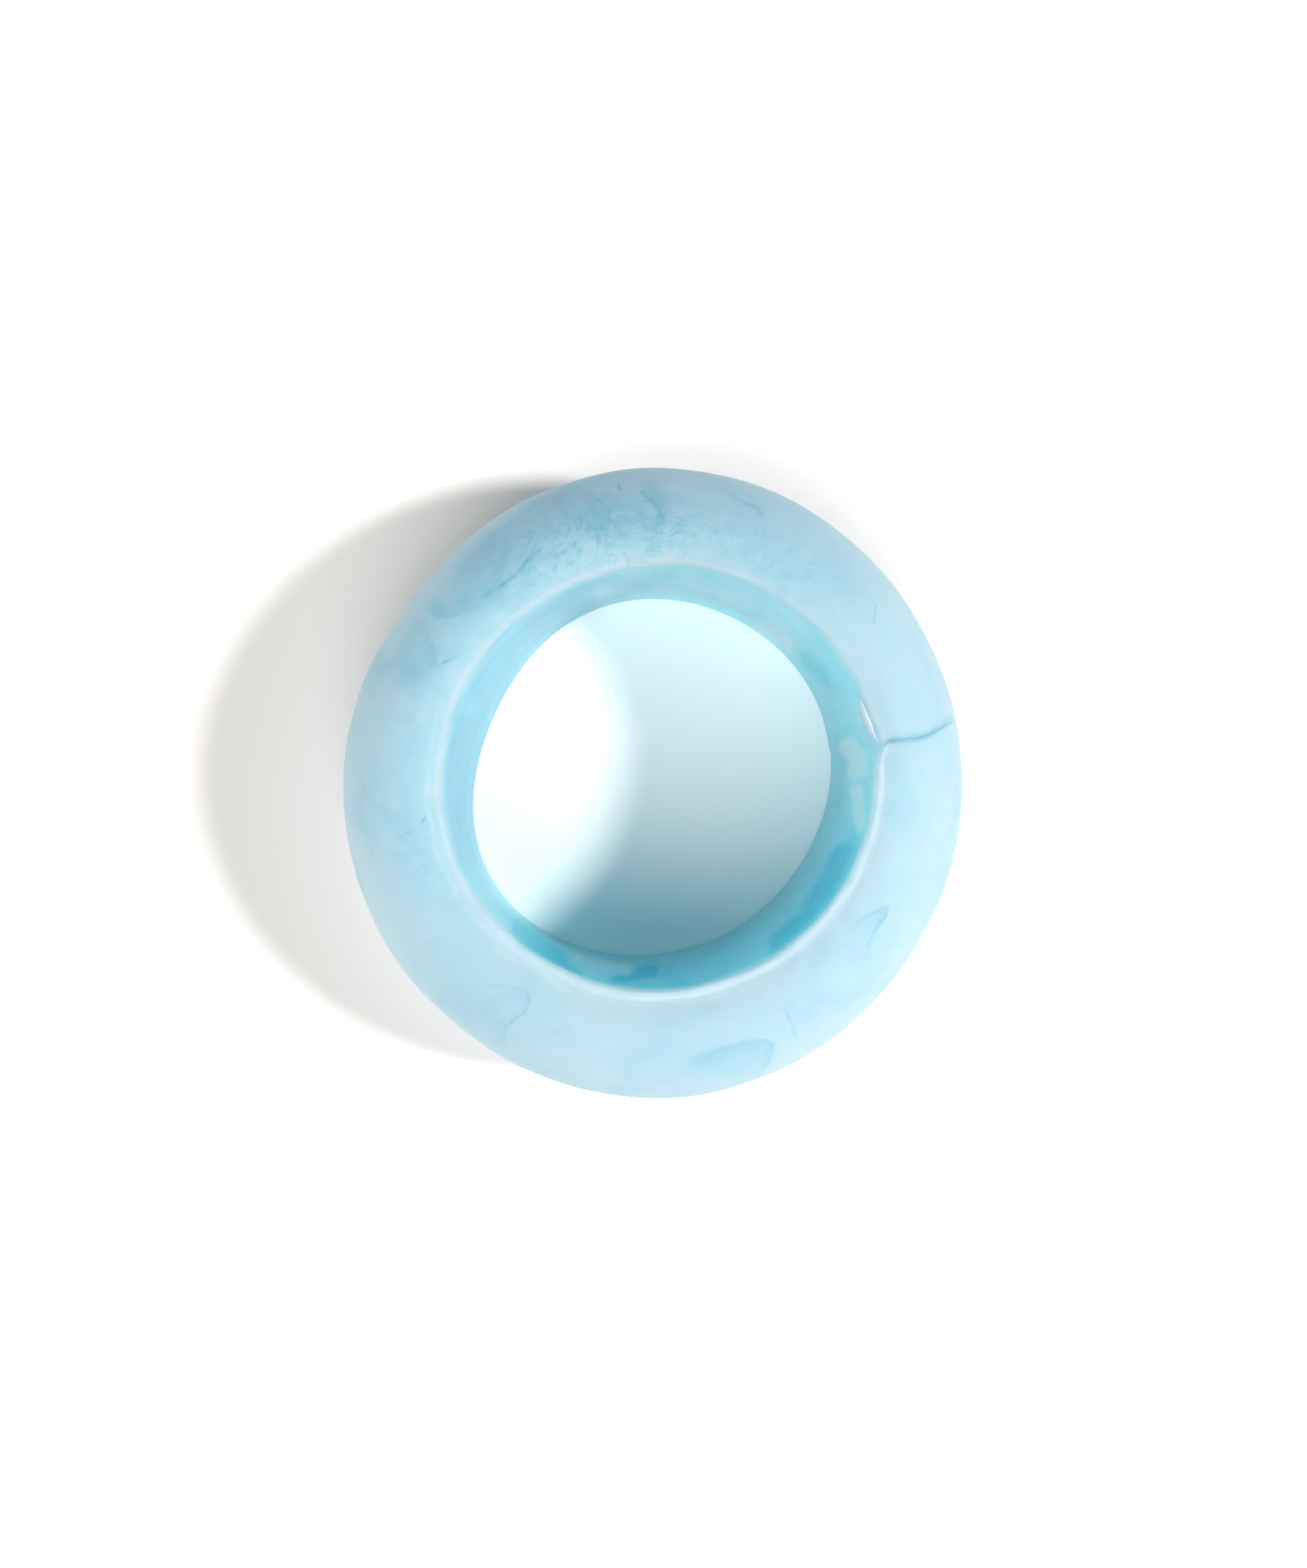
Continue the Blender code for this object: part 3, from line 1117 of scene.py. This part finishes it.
    def clouded(self, graph: Graph, where: Socket, swirl: Socket) -> Socket:
        """Clouds of two blues and of milk, the paler left belly, the veils, heavier on the upper left as
        painted shade, and the placed plumes, some of which are painted shade.

        Args:
            graph: The material's nodes.
            where: Object coordinates.
            swirl: Object coordinates pushed aside by a slow noise.

        Returns:
            The colour.
        """
        colour = graph.mix(graph.pattern(swirl, self.clouds), self.pale, self.cloud)
        colour = graph.mix(graph.pattern(where, self.milkiness), colour, self.milk)
        colour = graph.mix(graph.field("left_belly_tint"), colour, self.left_belly_tint)
        veils = graph.times(graph.pattern(where, self.veils), graph.field("veil"))
        colour = graph.mix(veils, colour, self.deep)
        plumes = graph.times(graph.pattern(swirl, self.plumes), graph.field("plume"))
        return graph.mix(plumes, colour, self.deep)

    def feathered(self, graph: Graph, swirl: Socket, colour: Socket) -> Socket:
        """The feathering: dark flecks, fine threads where a noise crosses its middle, and pale flecks.

        Args:
            graph: The material's nodes.
            swirl: Object coordinates pushed aside by a slow noise.
            colour: The colour under it.

        Returns:
            The colour.
        """
        flecks = graph.noise(graph.warp(swirl, self.fleck_push), self.flecks)
        threads = graph.calc("ABSOLUTE", graph.swing(graph.warp(swirl, self.thread_push), self.threads))
        layers = ((flecks, self.dark_flecks, self.deep), (threads, self.thread_line, self.deep),
                  (flecks, self.pale_flecks, self.milk))
        for value, ramp, tint in layers:
            colour = graph.mix(graph.times(graph.step(value, ramp), graph.field("feather")), colour, tint)
        return colour

    def veined(self, graph: Graph, where: Socket, colour: Socket) -> Socket:
        """The lobes, full at their edge and fainter at heart, and the broken lines of the veins.

        Args:
            graph: The material's nodes.
            where: Object coordinates.
            colour: The colour under them.

        Returns:
            The colour.
        """
        wander = graph.swing(where, self.wander)
        within = graph.calc("ADD", graph.field("lobe_side"), graph.times(wander, self.lobe_wander))
        lobe = graph.times(graph.step(within, self.lobe_edge), graph.step(within, self.lobe_heart),
                           graph.field("lobe_strength"))
        colour = graph.mix(lobe, colour, self.deep)
        side = graph.calc("ADD", graph.field("vein_side"), graph.times(wander, self.vein_wander))
        line = graph.times(graph.step(graph.calc("ABSOLUTE", side), self.vein_line),
                           graph.field("vein_strength"), graph.pattern(where, self.vein_breaks))
        return graph.mix(line, colour, self.deep)

    def wall(self, graph: Graph, where: Socket) -> Socket:
        """The deeper blue of the inner wall, with its patches, on noises that are drawn out upwards; it
        carries painted shade on the lamp-lit side, painted glow in patches and at the foot, and painted
        reflections.

        Args:
            graph: The material's nodes.
            where: Object coordinates.

        Returns:
            The colour.
        """
        tall = graph.calc("MULTIPLY", where, self.wall_stretch, PLACES)
        wall = graph.mix(graph.pattern(tall, self.blotches), self.inner, self.inner_deep)
        # Painted shade: the side of the wall that the key lamp lights is made darker.
        wall = graph.mix(graph.field("lit_wall_painted_shade"), wall, self.inner_lit_side_painted_shade)
        drift = graph.times(graph.swing(graph.warp(tall, self.drift_push), self.drift), self.drift_size)
        for name, tint in (("wall_bright", self.inner_bright), ("wall_deep_and_glow", self.inner_deep),
                           ("wall_milk_and_reflection", self.inner_milk_and_reflection)):
            amount = graph.field(name)
            patch = graph.calc("ADD", amount, graph.times(drift, graph.step(amount, self.drift_hold)))
            wall = graph.mix(graph.step(patch, self.patch_edge), wall, tint)
        # Painted glow along the wall's foot, left off the lamp-lit side.
        wall = graph.mix(graph.field("foot_painted_glow"), wall, self.inner_foot_painted_glow)
        return graph.mix(graph.field("wall_top"), wall, self.inner_top)


def rim_way(points: Array) -> Array:
    """Distance along each section from the middle of the top rim, over 0 down the inner wall.

    Args:
        points: Places of the points, a row for each section.

    Returns:
        Distances in metres.
    """
    steps = np.linalg.norm(np.roll(points, -1, axis=1) - points, axis=-1)
    along = np.cumsum(steps, axis=1)
    return along - along[:, RIM_MIDDLE][:, None]


def inside_share(points: Array) -> Array:
    """0 on the outside, rising round the top rim to 1 on the inner wall and round the bottom rim.

    Args:
        points: Places of the points, a row for each section.

    Returns:
        Shares, by the place of a point in its section.
    """
    shoulder = np.zeros(Part.SHOULDER.points)
    upper = (shoulder, np.zeros(Part.LAND.points), np.linspace(0.0, 1.0, Part.RIM.points))
    lower = (np.ones(Part.RIM.points), np.linspace(1.0, 0.0, Part.LAND.points), shoulder)
    wall = np.ones(2 * Part.WALL.points)
    return np.broadcast_to(np.concatenate((*upper, wall, *lower)), points.shape[:2])


@dataclass(frozen=True)
class Shades:
    """Where the shades of the finish lie on the band.

    The sides, the feathers and the painted shade of the lamp-lit wall go by the angle in degrees.
    What is named for the belly goes by the distance from the middle of the photograph in its pixels.
    The rim, the land, the painted highlight lines and the wall's top go by the distance from the rim's
    middle in metres, and the foot and the lobes by the height. Several of these are painted light and
    shade: the rim's sheen, the highlight lines, the veils' weight by side, the lit wall's shade and the
    glow at the wall's foot.
    """

    top_rise: float = 0.006
    # Painted light on the rim's pale band: less of it on the shaded upper left, more as a painted sheen on
    # the crisp side.
    shaded_side: Sector = Sector(135.0, 0.3, 0.9)
    shaded_loss: float = 0.7
    rim: Bell = Bell(-0.0006, 0.0014)
    rim_share: float = 0.35
    rim_painted_sheen_share: float = 0.6
    land: Bell = Bell(-0.0024, 0.0018)
    land_share: float = 0.14
    # The painted highlight lines: where they lie, on which sides, and how they wander.
    line: Bell = Bell(-0.00095, 0.00028)
    highlight_side: Sector = Sector(318.0, 0.5, 0.68)
    line_least: float = 0.1
    line_wander: float = 0.0002
    line_ripples: Ripples = Ripples(0.007, 33)
    second_highlight_line: Bell = Bell(-0.0021, 0.0004)
    second_highlight_side: Sector = Sector(235.0, 0.1, 0.6)
    second_share: float = 0.6
    second_wander: float = 1.6
    second_level: float = 0.55
    second_swing: float = 0.45
    second_ripples: Ripples = Ripples(0.012, 35)
    # The left belly is made paler and greyer, by angle and by distance from the middle.
    left_belly_tint_side: Sector = Sector(178.0, 0.2, 0.95)
    left_belly_tint_reach: Ramp = Ramp(330.0, 400.0, 0.0, 0.8)
    # Painted shade: the veils are heavier towards the upper left.
    veil_painted_shade_side: Sector = Sector(150.0, 0.1, 0.8)
    veil_least: float = 0.35
    feather_start: Ramp = Ramp(30.0, 55.0, 0.0, 0.4)
    feather_full: Ramp = Ramp(72.0, 90.0, 0.0, 0.6)
    feather_end: Ramp = Ramp(136.0, 112.0)
    feather_belly: Ramp = Ramp(405.0, 350.0)
    left_feather: Bell = Bell(203.0, 12.0)
    left_feather_belly: Ramp = Ramp(380.0, 330.0, 0.0, 0.35)
    under_feather: Ramp = Ramp(0.2, 0.9, 0.0, 0.25)
    under_wave: Wave = Wave(1.0, 3, 50.0 / 3.0)
    # Painted shade on the inner wall where the key lamp lights it, by angle.
    lit_wall_painted_shade_start: Ramp = Ramp(75.0, 125.0, 0.0, 0.9)
    lit_wall_painted_shade_end: Ramp = Ramp(225.0, 190.0)
    wall_top: Bell = Bell(0.0, 0.004)
    wall_top_share: float = 0.75
    foot: Ramp = Ramp(0.014, 0.0)
    # Strength of the painted glow at the wall's foot.
    foot_glow_share: float = 0.75
    thin_rim_share: float = 0.85
    rim_turn: Ramp = Ramp(0.0, 0.45, 1.0, 0.0)
    lobe_height: Ramp = Ramp(0.019, 0.033)

    def lines(self, points: Array, angle: Array, join_angle: float) -> Array:
        """Two painted highlight lines beside the rim, bell curves of the distance from it that wander.

        Args:
            points: Places of the points, a row for each section.
            angle: Their angles in degrees.
            join_angle: The angle at which the first line ends.

        Returns:
            Shares.
        """
        from_rim = rim_way(points)
        wander = self.line_wander * self.line_ripples.at(points)
        line = self.line.at(from_rim + wander) * ((angle < join_angle) | (angle > TURN / 2))
        line = line * (self.line_least + (1.0 - self.line_least) * self.highlight_side.at(angle))
        second = self.second_highlight_line.at(from_rim + self.second_wander * wander) * self.second_highlight_side.at(angle)
        second = second * (self.second_level + self.second_swing * self.second_ripples.at(points))
        return np.clip(line + self.second_share * second, 0.0, 1.0)

    def feathering(self, angle: Array, belly: Array, upper: Array, inside: Array) -> Array:
        """Where the feathered flecks lie: at the top of the picture, at its left, and underneath.

        Args:
            angle: Angles of the points in degrees.
            belly: Their distance from the middle of the photograph, in pixels.
            upper: Whether they lie on the upper half.
            inside: Share of the inner wall.

        Returns:
            Shares.
        """
        top = (self.feather_start.at(angle) + self.feather_full.at(angle)) * self.feather_end.at(angle)
        top = top * self.feather_belly.at(belly) * upper * (1.0 - inside)
        left = self.left_feather.at(angle) * self.left_feather_belly.at(belly) * upper
        under = self.under_feather.at(self.under_wave.at(angle)) * ~upper
        return np.clip(top + left + under, 0.0, 1.0)

    def marbling(self, form: BandForm, points: Array, places: Array, inside: Array) -> dict[str, Array]:
        """The marbling's values, each kept to its own side of the band.

        Args:
            form: Sizes of the band.
            points: Places of the points, a row for each section.
            places: Pixel places of the points, one after another.
            inside: Share of the inner wall.

        Returns:
            Values by name.
        """
        values = Marbling().fields(places)
        upper = np.arange(points.shape[1]) < CHAIN
        height = points[..., 2]
        top = Ramp(form.belly_height, form.belly_height + self.top_rise).at(height) * (1 - inside) * upper
        masks = {"vein_strength": top, "plume": top, "lobe_strength": top * self.lobe_height.at(height),
                 "wall_deep_and_glow": inside, "wall_milk_and_reflection": inside, "wall_bright": inside,
                 "web": upper & (height > form.belly_height)}
        return {**values, **{name: values[name] * mask.ravel() for name, mask in masks.items()}}

    def fields(self, form: BandForm, points: Array, inside: Array, centre: Array) -> dict[str, Array]:
        """Values kept on the points for the finish.

        Args:
            form: Sizes of the band.
            points: Places of the points, a row for each section.
            inside: Share of the inner wall.
            centre: Middle of the band's footprint before it was moved to the origin.

        Returns:
            Values by name: inside, rim, feather, the wall's painted shade and other shades, and those of
                the marbling.
        """
        angle = np.degrees(np.arctan2(points[..., 1], points[..., 0])) % TURN
        from_rim = rim_way(points)
        upper = np.arange(points.shape[1]) < CHAIN
        places = photo_places(points.reshape(-1, 3), -centre)
        belly = np.hypot(places[:, 0] - PHOTO_WIDTH / 2, places[:, 1] - PHOTO_HEIGHT / 2)
        belly = belly.reshape(angle.shape)
        # The rim's pale band, partly sanded edge and partly painted light: weaker on the shaded upper left,
        # a painted sheen on the crisp lower right.
        shaded = 1.0 - self.shaded_loss * self.shaded_side.at(angle)
        rim = self.rim_share * shaded + self.rim_painted_sheen_share * form.crisp_side.at(angle)
        rim = (rim * self.rim.at(from_rim) + self.land_share * self.land.at(from_rim)) * upper
        rim = np.clip(rim, 0.0, 1.0)
        # Painted shade on the lamp-lit side of the inner wall.
        shade = self.lit_wall_painted_shade_start.at(angle) * self.lit_wall_painted_shade_end.at(angle) * inside
        foot = inside * self.foot.at(points[..., 2])
        return {
            "inside": inside,
            "rim": rim,
            "feather": self.feathering(angle, belly, upper, inside),
            "lit_wall_painted_shade": shade,
            # Painted highlight lines beside the rim.
            "painted_highlight_lines": self.lines(points, angle, form.join_angle) * upper,
            "thin": np.maximum(foot, self.thin_rim_share * rim * self.rim_turn.at(inside)),
            # Painted glow at the wall's foot.
            "foot_painted_glow": self.foot_glow_share * foot * (1.0 - shade),
            "wall_top": self.wall_top_share * inside * self.wall_top.at(np.maximum(from_rim, 0.0)),
            # Veils heavier on the upper left: painted shade.
            "veil": self.veil_least + (1.0 - self.veil_least) * self.veil_painted_shade_side.at(angle),
            "left_belly_tint": self.left_belly_tint_side.at(angle) * self.left_belly_tint_reach.at(belly) * (1 - inside),
            **self.marbling(form, points, places, inside),
        }


@dataclass
class ResinBand:
    """The thick band, from its soft lip round the wrist to its crisp lip."""

    form: BandForm
    shades: Shades = Shades()
    rows: int = 760
    lip_rows: int = 9
    crowding: float = 0.55
    resting: Ramp = Ramp(0.0, 0.004)
    lumps: Dent = Dent(0.00011, 1.6, Ripples(0.016, 3))
    wall_lumps: Dent = Dent(0.00014, 0.9, Ripples(0.010, 8))
    ragged: Dent = Dent(0.00012, 0.3, Ripples(0.0055, 14))
    ragged_place: Bell = Bell(0.0008, 0.0011)
    ridge: float = 0.00007
    ridge_crest: Bell = Bell(-0.0009, 0.00032)
    ridge_trough: Bell = Bell(-0.0018, 0.0005)
    ridge_trough_share: float = 0.8
    ridge_level: float = 0.6
    ridge_crisp_loss: float = 0.7
    ridge_swing: float = 0.7
    ridge_ripples: Ripples = Ripples(0.012, 21)
    ridge_reach: float = 0.004
    centre: Array = field(default_factory=lambda: np.zeros(3))

    def sections(self) -> Array:
        """Smooth sections of the band in space, crowded together near the join by a sine of the share.

        Each lip is a quarter circle that goes down to the groove's depth, and the two lips meet there.

        Returns:
            Points, a row for each section.
        """
        form = self.form
        soft_low, soft_reach = form.lip(form.soft_lip)
        crisp_low, crisp_reach = form.lip(form.crisp_lip)
        bend = np.linspace(soft_low, 0.0, self.lip_rows, endpoint=False)
        side = soft_reach - form.soft_lip * np.sin(bend)
        soft = form.placed(0.0, form.soft_lip * (1 - np.cos(bend)), side, 1.0)
        share = np.linspace(0.0, 1.0, self.rows)
        share = share - self.crowding * np.sin(2 * math.pi * share) / (2 * math.pi)
        side = soft_reach * (1 - share) - crisp_reach * share
        middle = form.placed(TURN * share, 0.0, side, 1 - 2 * share)
        bend = np.linspace(0.0, crisp_low, self.lip_rows + 1)[1:]
        side = form.crisp_lip * np.sin(bend) - crisp_reach
        crisp = form.placed(TURN, form.crisp_lip * (1 - np.cos(bend)), side, -1.0)
        return np.concatenate((soft, middle, crisp))

    def dents(self, points: Array, inside: Array) -> Array:
        """How far points move outwards for the hand-made unevenness.

        The ridge beside the rim is a crest less a trough, each a bell curve of the distance from the
        rim, taken down by a level, and calmer on the crisp side.

        Args:
            points: Places of the points, a row for each section.
            inside: Share of the inner wall.

        Returns:
            Distances.
        """
        from_rim = rim_way(points)
        angle = np.degrees(np.arctan2(points[..., 1], points[..., 0]))
        ridge = self.ridge_crest.at(from_rim) - self.ridge_trough_share * self.ridge_trough.at(from_rim)
        calm = 1.0 - self.ridge_crisp_loss * self.form.crisp_side.at(angle)
        swing = 1.0 + self.ridge_swing * self.ridge_ripples.at(points)
        near = np.abs(from_rim) < self.ridge_reach
        dents = self.lumps.at(points) * (1 - inside) + self.wall_lumps.at(points) * inside
        dents += self.ridge * (ridge - self.ridge_level) * calm * swing * near
        return dents + self.ragged.at(points) * self.ragged_place.at(from_rim)

    def build(self) -> bpy.types.Object:
        """The band's mesh, moved to the origin and dented along its normals but for its resting face.

        Returns:
            The band's object, with the values that its finish reads.
        """
        points = self.sections()
        flat = points.reshape(-1, 3)
        self.centre = (flat.min(axis=0) + flat.max(axis=0)) / 2 * LEVEL
        points = points - self.centre
        inside = inside_share(points)
        ahead, around = (np.roll(points, -1, axis=axis) - np.roll(points, 1, axis=axis) for axis in (0, 1))
        normal = np.cross(ahead, around)
        normal /= np.maximum(np.linalg.norm(normal, axis=-1, keepdims=True), TINY)
        dents = self.dents(points, inside) * self.resting.at(points[..., 2])
        points = points + normal * dents[..., None]
        fields = self.shades.fields(self.form, points, inside, self.centre)
        return mesh_object("resin_band_skin", points, skin_faces(*points.shape[:2], ring=True), fields)

    def dress(self, piece: bpy.types.Object, finish: MarbledResin) -> None:
        """Puts the finish on the band and ties it to its solid.

        Args:
            piece: The band.
            finish: Its finish.
        """
        piece.data.materials.append(finish.material("marbled_resin_finish"))
        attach(piece, ROOT_BODY)
        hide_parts("resin_band")


@dataclass(frozen=True)
class CuredFill:
    """Glossy deeper resin that was squeezed into the join and left there."""

    # The bead's deeper blue: partly the fill's own colour, partly painted shade in the groove of the
    # crease.
    body: Colour = (0.30, 0.52, 0.64)
    pale: Colour = (0.72, 0.87, 0.93)
    clouds: Pattern = Pattern(Grain(300.0, 3.0, 0.55), Ramp(0.2, 0.6, 0.6, 1.0), Push(120.0, 0.008))
    gloss: Pattern = Pattern(Grain(500.0, 2.0, 0.5), Ramp(0.2, 0.8, 0.30, 0.42))

    def material(self, name: str) -> bpy.types.Material:
        """A Principled material with a slow mix of two blues on Object coordinates.

        Args:
            name: Name of the material.

        Returns:
            The material.
        """
        material, graph = new_material(name)
        shader = material.node_tree.nodes["Principled BSDF"]
        where = graph.add("ShaderNodeTexCoord").outputs["Object"]
        share = graph.times(graph.field("pale"), graph.pattern(where, self.clouds))
        graph.put(shader.inputs["Base Color"], graph.mix(share, self.body, self.pale))
        graph.put(shader.inputs["Roughness"], graph.pattern(where, self.gloss))
        return material


@dataclass
class JoinFill:
    """The edge of the cured sheet between the band's ends: a bead in the groove, and a curl beside it."""

    form: BandForm
    half_width: float = 0.00017
    half_depth: float = 0.00008
    bead_points: int = 10
    bead_start: int = 9
    bead_end: int = RIM_MIDDLE - 2
    bead_tip: float = 0.03
    bead_taper: float = 0.5
    curl_points: int = 12
    curl_rows: int = 40
    curl_start: float = 0.6
    curl_length: float = 12.5
    curl_width: float = 0.00055
    curl_tip: float = 0.01
    curl_taper: float = 0.7
    curl_setback: float = 0.00018
    curl_lean: float = 0.00035
    curl_drop: float = 0.0011
    curl_tilt: float = 0.0004
    curl_half_height: float = 0.0003

    def build(self, centre: Array) -> bpy.types.Object:
        """The bead's mesh: an ellipse across the join, carried along the bottom of the groove.

        It runs from the shoulder to the top rim, and tapers to its ends by a power of a half sine.

        Args:
            centre: Middle of the band's footprint, which is moved to the origin.

        Returns:
            The bead's object.
        """
        form = self.form
        turn = np.linspace(0.0, 2.0 * math.pi, self.bead_points, endpoint=False)
        rings = form.placed(0.0, form.groove + self.half_depth * np.sin(turn), 0.0 * turn, 0.0)
        path = rings[:, self.bead_start:self.bead_end].swapaxes(0, 1)
        swell = np.sin(np.linspace(self.bead_tip, math.pi - self.bead_tip, len(path))) ** self.bead_taper
        middle = path.mean(axis=1, keepdims=True)
        join = math.radians(form.join_angle)
        across = np.array((-math.sin(join), math.cos(join), 0.0))
        offset = (path - middle) + self.half_width * np.cos(turn)[None, :, None] * across
        points = middle + offset * swell[:, None, None] - centre
        faces = skin_faces(*points.shape[:2], ring=False)
        return mesh_object("join_fill_bead", points, faces, {"pale": np.zeros(points.shape[:2])})

    def build_curl(self, centre: Array) -> bpy.types.Object:
        """The squeezed-out curl: a flat tilted ellipse carried along the rim's edge beside the join.

        It tapers to its ends by a power of a half sine.

        Args:
            centre: Middle of the band's footprint, which is moved to the origin.

        Returns:
            The curl's object.
        """
        form = self.form
        share = np.linspace(0.0, 1.0, self.curl_rows)[:, None]
        turn = np.linspace(0.0, 2.0 * math.pi, self.curl_points, endpoint=False)[None, :]
        angle = form.join_angle + self.curl_start + self.curl_length * share
        rim_radius, rim_height, _, _ = form.corners(angle, np.zeros_like(angle))
        cut = form.soft_cut(np.radians(angle - form.join_angle) * rim_radius)
        swell = np.sin(math.pi * np.clip(share, self.curl_tip, 1.0 - self.curl_tip)) ** self.curl_taper
        radius = rim_radius + cut + self.curl_setback
        radius = radius + swell * (self.curl_width * np.cos(turn) - self.curl_lean)
        height = rim_height - self.curl_drop
        height = height + swell * (self.curl_tilt * np.cos(turn) + self.curl_half_height * np.sin(turn))
        spin = np.radians(angle) + 0.0 * turn
        points = np.stack((radius * np.cos(spin), radius * np.sin(spin), height), axis=-1) - centre
        faces = skin_faces(*points.shape[:2], ring=False)
        return mesh_object("join_fill_curl", points, faces, {"pale": np.ones(points.shape[:2])})

    def dress(self, bead: bpy.types.Object, curl: bpy.types.Object, finish: CuredFill) -> None:
        """Puts the finish on the bead and the curl, and ties the bead to its solid.

        Args:
            bead: The bead.
            curl: The curl.
            finish: Their finish.
        """
        material = finish.material("cured_fill_finish")
        for piece in (bead, curl):
            piece.data.materials.append(material)
            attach(piece, ROOT_BODY)
        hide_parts("join_fill")


def seen_ray(graph: Graph) -> Socket:
    """Rays that show the background itself: from the camera, mirrored or let through.

    Args:
        graph: Nodes of a material or of the world.

    Returns:
        1 for such rays, and 0 for others.
    """
    path = graph.add("ShaderNodeLightPath").outputs
    seen = graph.calc("MAXIMUM", path["Is Camera Ray"], path["Is Glossy Ray"])
    return graph.calc("MAXIMUM", seen, path["Is Transmission Ray"])


@dataclass(frozen=True)
class Lamp:
    """A distant lamp: where it shines from, the width of its disc, and its share of the floor's light.

    The azimuth runs in degrees from +X towards +Y, the elevation from the floor, and the spread is the
    width of the disc in degrees, which softens the shadow.
    """

    name: str
    azimuth: float
    elevation: float
    spread: float
    share: float

    def build(self) -> None:
        """Adds the lamp to the scene, as bright as its share of a white floor's light."""
        side = math.radians(self.azimuth)
        tilt = math.radians(self.elevation)
        data = bpy.data.lights.new(self.name, "SUN")
        data.angle = math.radians(self.spread)
        data.energy = self.share * math.pi / math.sin(tilt)
        lamp = bpy.data.objects.new(self.name, data)
        way = Vector((math.cos(tilt) * math.cos(side), math.cos(tilt) * math.sin(side), math.sin(tilt)))
        lamp.rotation_mode = "QUATERNION"
        lamp.rotation_quaternion = way.to_track_quat("Z", "Y")
        bpy.context.scene.collection.objects.link(lamp)


@dataclass
class Studio:
    """Pale floor, soft lamps, a pale world and the camera."""

    lamps: tuple[Lamp, ...] = (
        Lamp("key", -3.0, 41.5, 9.0, 0.485),
        Lamp("fill", -101.0, 54.0, 52.0, 0.40),
        Lamp("side_card", 178.0, 22.0, 60.0, 0.09),
    )
    floor_size: float = 6.0
    floor_colour: Colour = (0.92, 0.92, 0.915)
    floor_seen: Colour = (1.30, 1.253, 1.20)
    world_colour: Colour = (1.0, 1.0, 1.0)
    world_share: float = 0.05
    backdrop: float = 1.0
    camera_clip: float = 0.01

    def floor(self) -> None:
        """A wide flat floor at the resting height, as one grid of points, brighter where it is seen."""
        side = np.array((-self.floor_size, self.floor_size)) / 2
        across, deep = np.meshgrid(side, side)
        points = np.stack((across, deep, np.zeros_like(across)), axis=-1)
        floor = mesh_object("floor", points, np.array([[0, 1, 3, 2]]), {})
        material, graph = new_material("floor_paper")
        nodes = material.node_tree.nodes
        nodes.remove(nodes["Principled BSDF"])
        paper = graph.add("ShaderNodeBsdfDiffuse")
        graph.put(paper.inputs["Color"], graph.mix(seen_ray(graph), self.floor_colour, self.floor_seen))
        graph.put(nodes["Material Output"].inputs["Surface"], paper.outputs[0])
        floor.data.materials.append(material)

    def world(self) -> None:
        """A pale world: weak light on the object, and a pale backdrop where the camera sees it."""
        world = bpy.data.worlds.new("studio")
        world.use_nodes = True
        bpy.context.scene.world = world
        graph = Graph(world.node_tree)
        background = world.node_tree.nodes["Background"].inputs
        extra = graph.times(seen_ray(graph), self.backdrop - self.world_share)
        graph.put(background["Color"], self.world_colour)
        graph.put(background["Strength"], graph.calc("ADD", extra, self.world_share))

    def camera(self, centre: Array) -> None:
        """A camera that looks straight down on the ring, with the photograph's field of view.

        Args:
            centre: The spot on the floor that it looks at.
        """
        data = bpy.data.cameras.new("camera")
        data.sensor_fit = "AUTO"
        data.lens = data.sensor_width * CAMERA_HEIGHT / (PHOTO_HEIGHT * FLOOR_METRES_PER_PIXEL)
        data.clip_start = self.camera_clip
        camera = bpy.data.objects.new("camera", data)
        camera.location = (centre[0], centre[1], CAMERA_HEIGHT)
        bpy.context.scene.collection.objects.link(camera)
        bpy.context.scene.camera = camera

    def build(self, centre: Array) -> None:
        """Sets up the floor, lamps, world, camera and view.

        Args:
            centre: The spot on the floor that the camera looks at.
        """
        self.floor()
        for lamp in self.lamps:
            lamp.build()
        self.world()
        self.camera(centre)
        bpy.context.scene.view_settings.view_transform = "Standard"


def main() -> None:
    """Builds the band, the fill in its join and the studio."""
    logging.basicConfig(level=logging.INFO, format="%(message)s")
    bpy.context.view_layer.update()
    form = BandForm()
    band = ResinBand(form)
    skin = band.build()
    band.dress(skin, MarbledResin())
    fill = JoinFill(form)
    bead = fill.build(band.centre)
    curl = fill.build_curl(band.centre)
    fill.dress(bead, curl, CuredFill())
    for piece in (skin, bead, curl):
        LOG.info("%s: %d points", piece.name, len(piece.data.vertices))
    Studio().build(-band.centre)


if __name__ == "__main__":
    main()
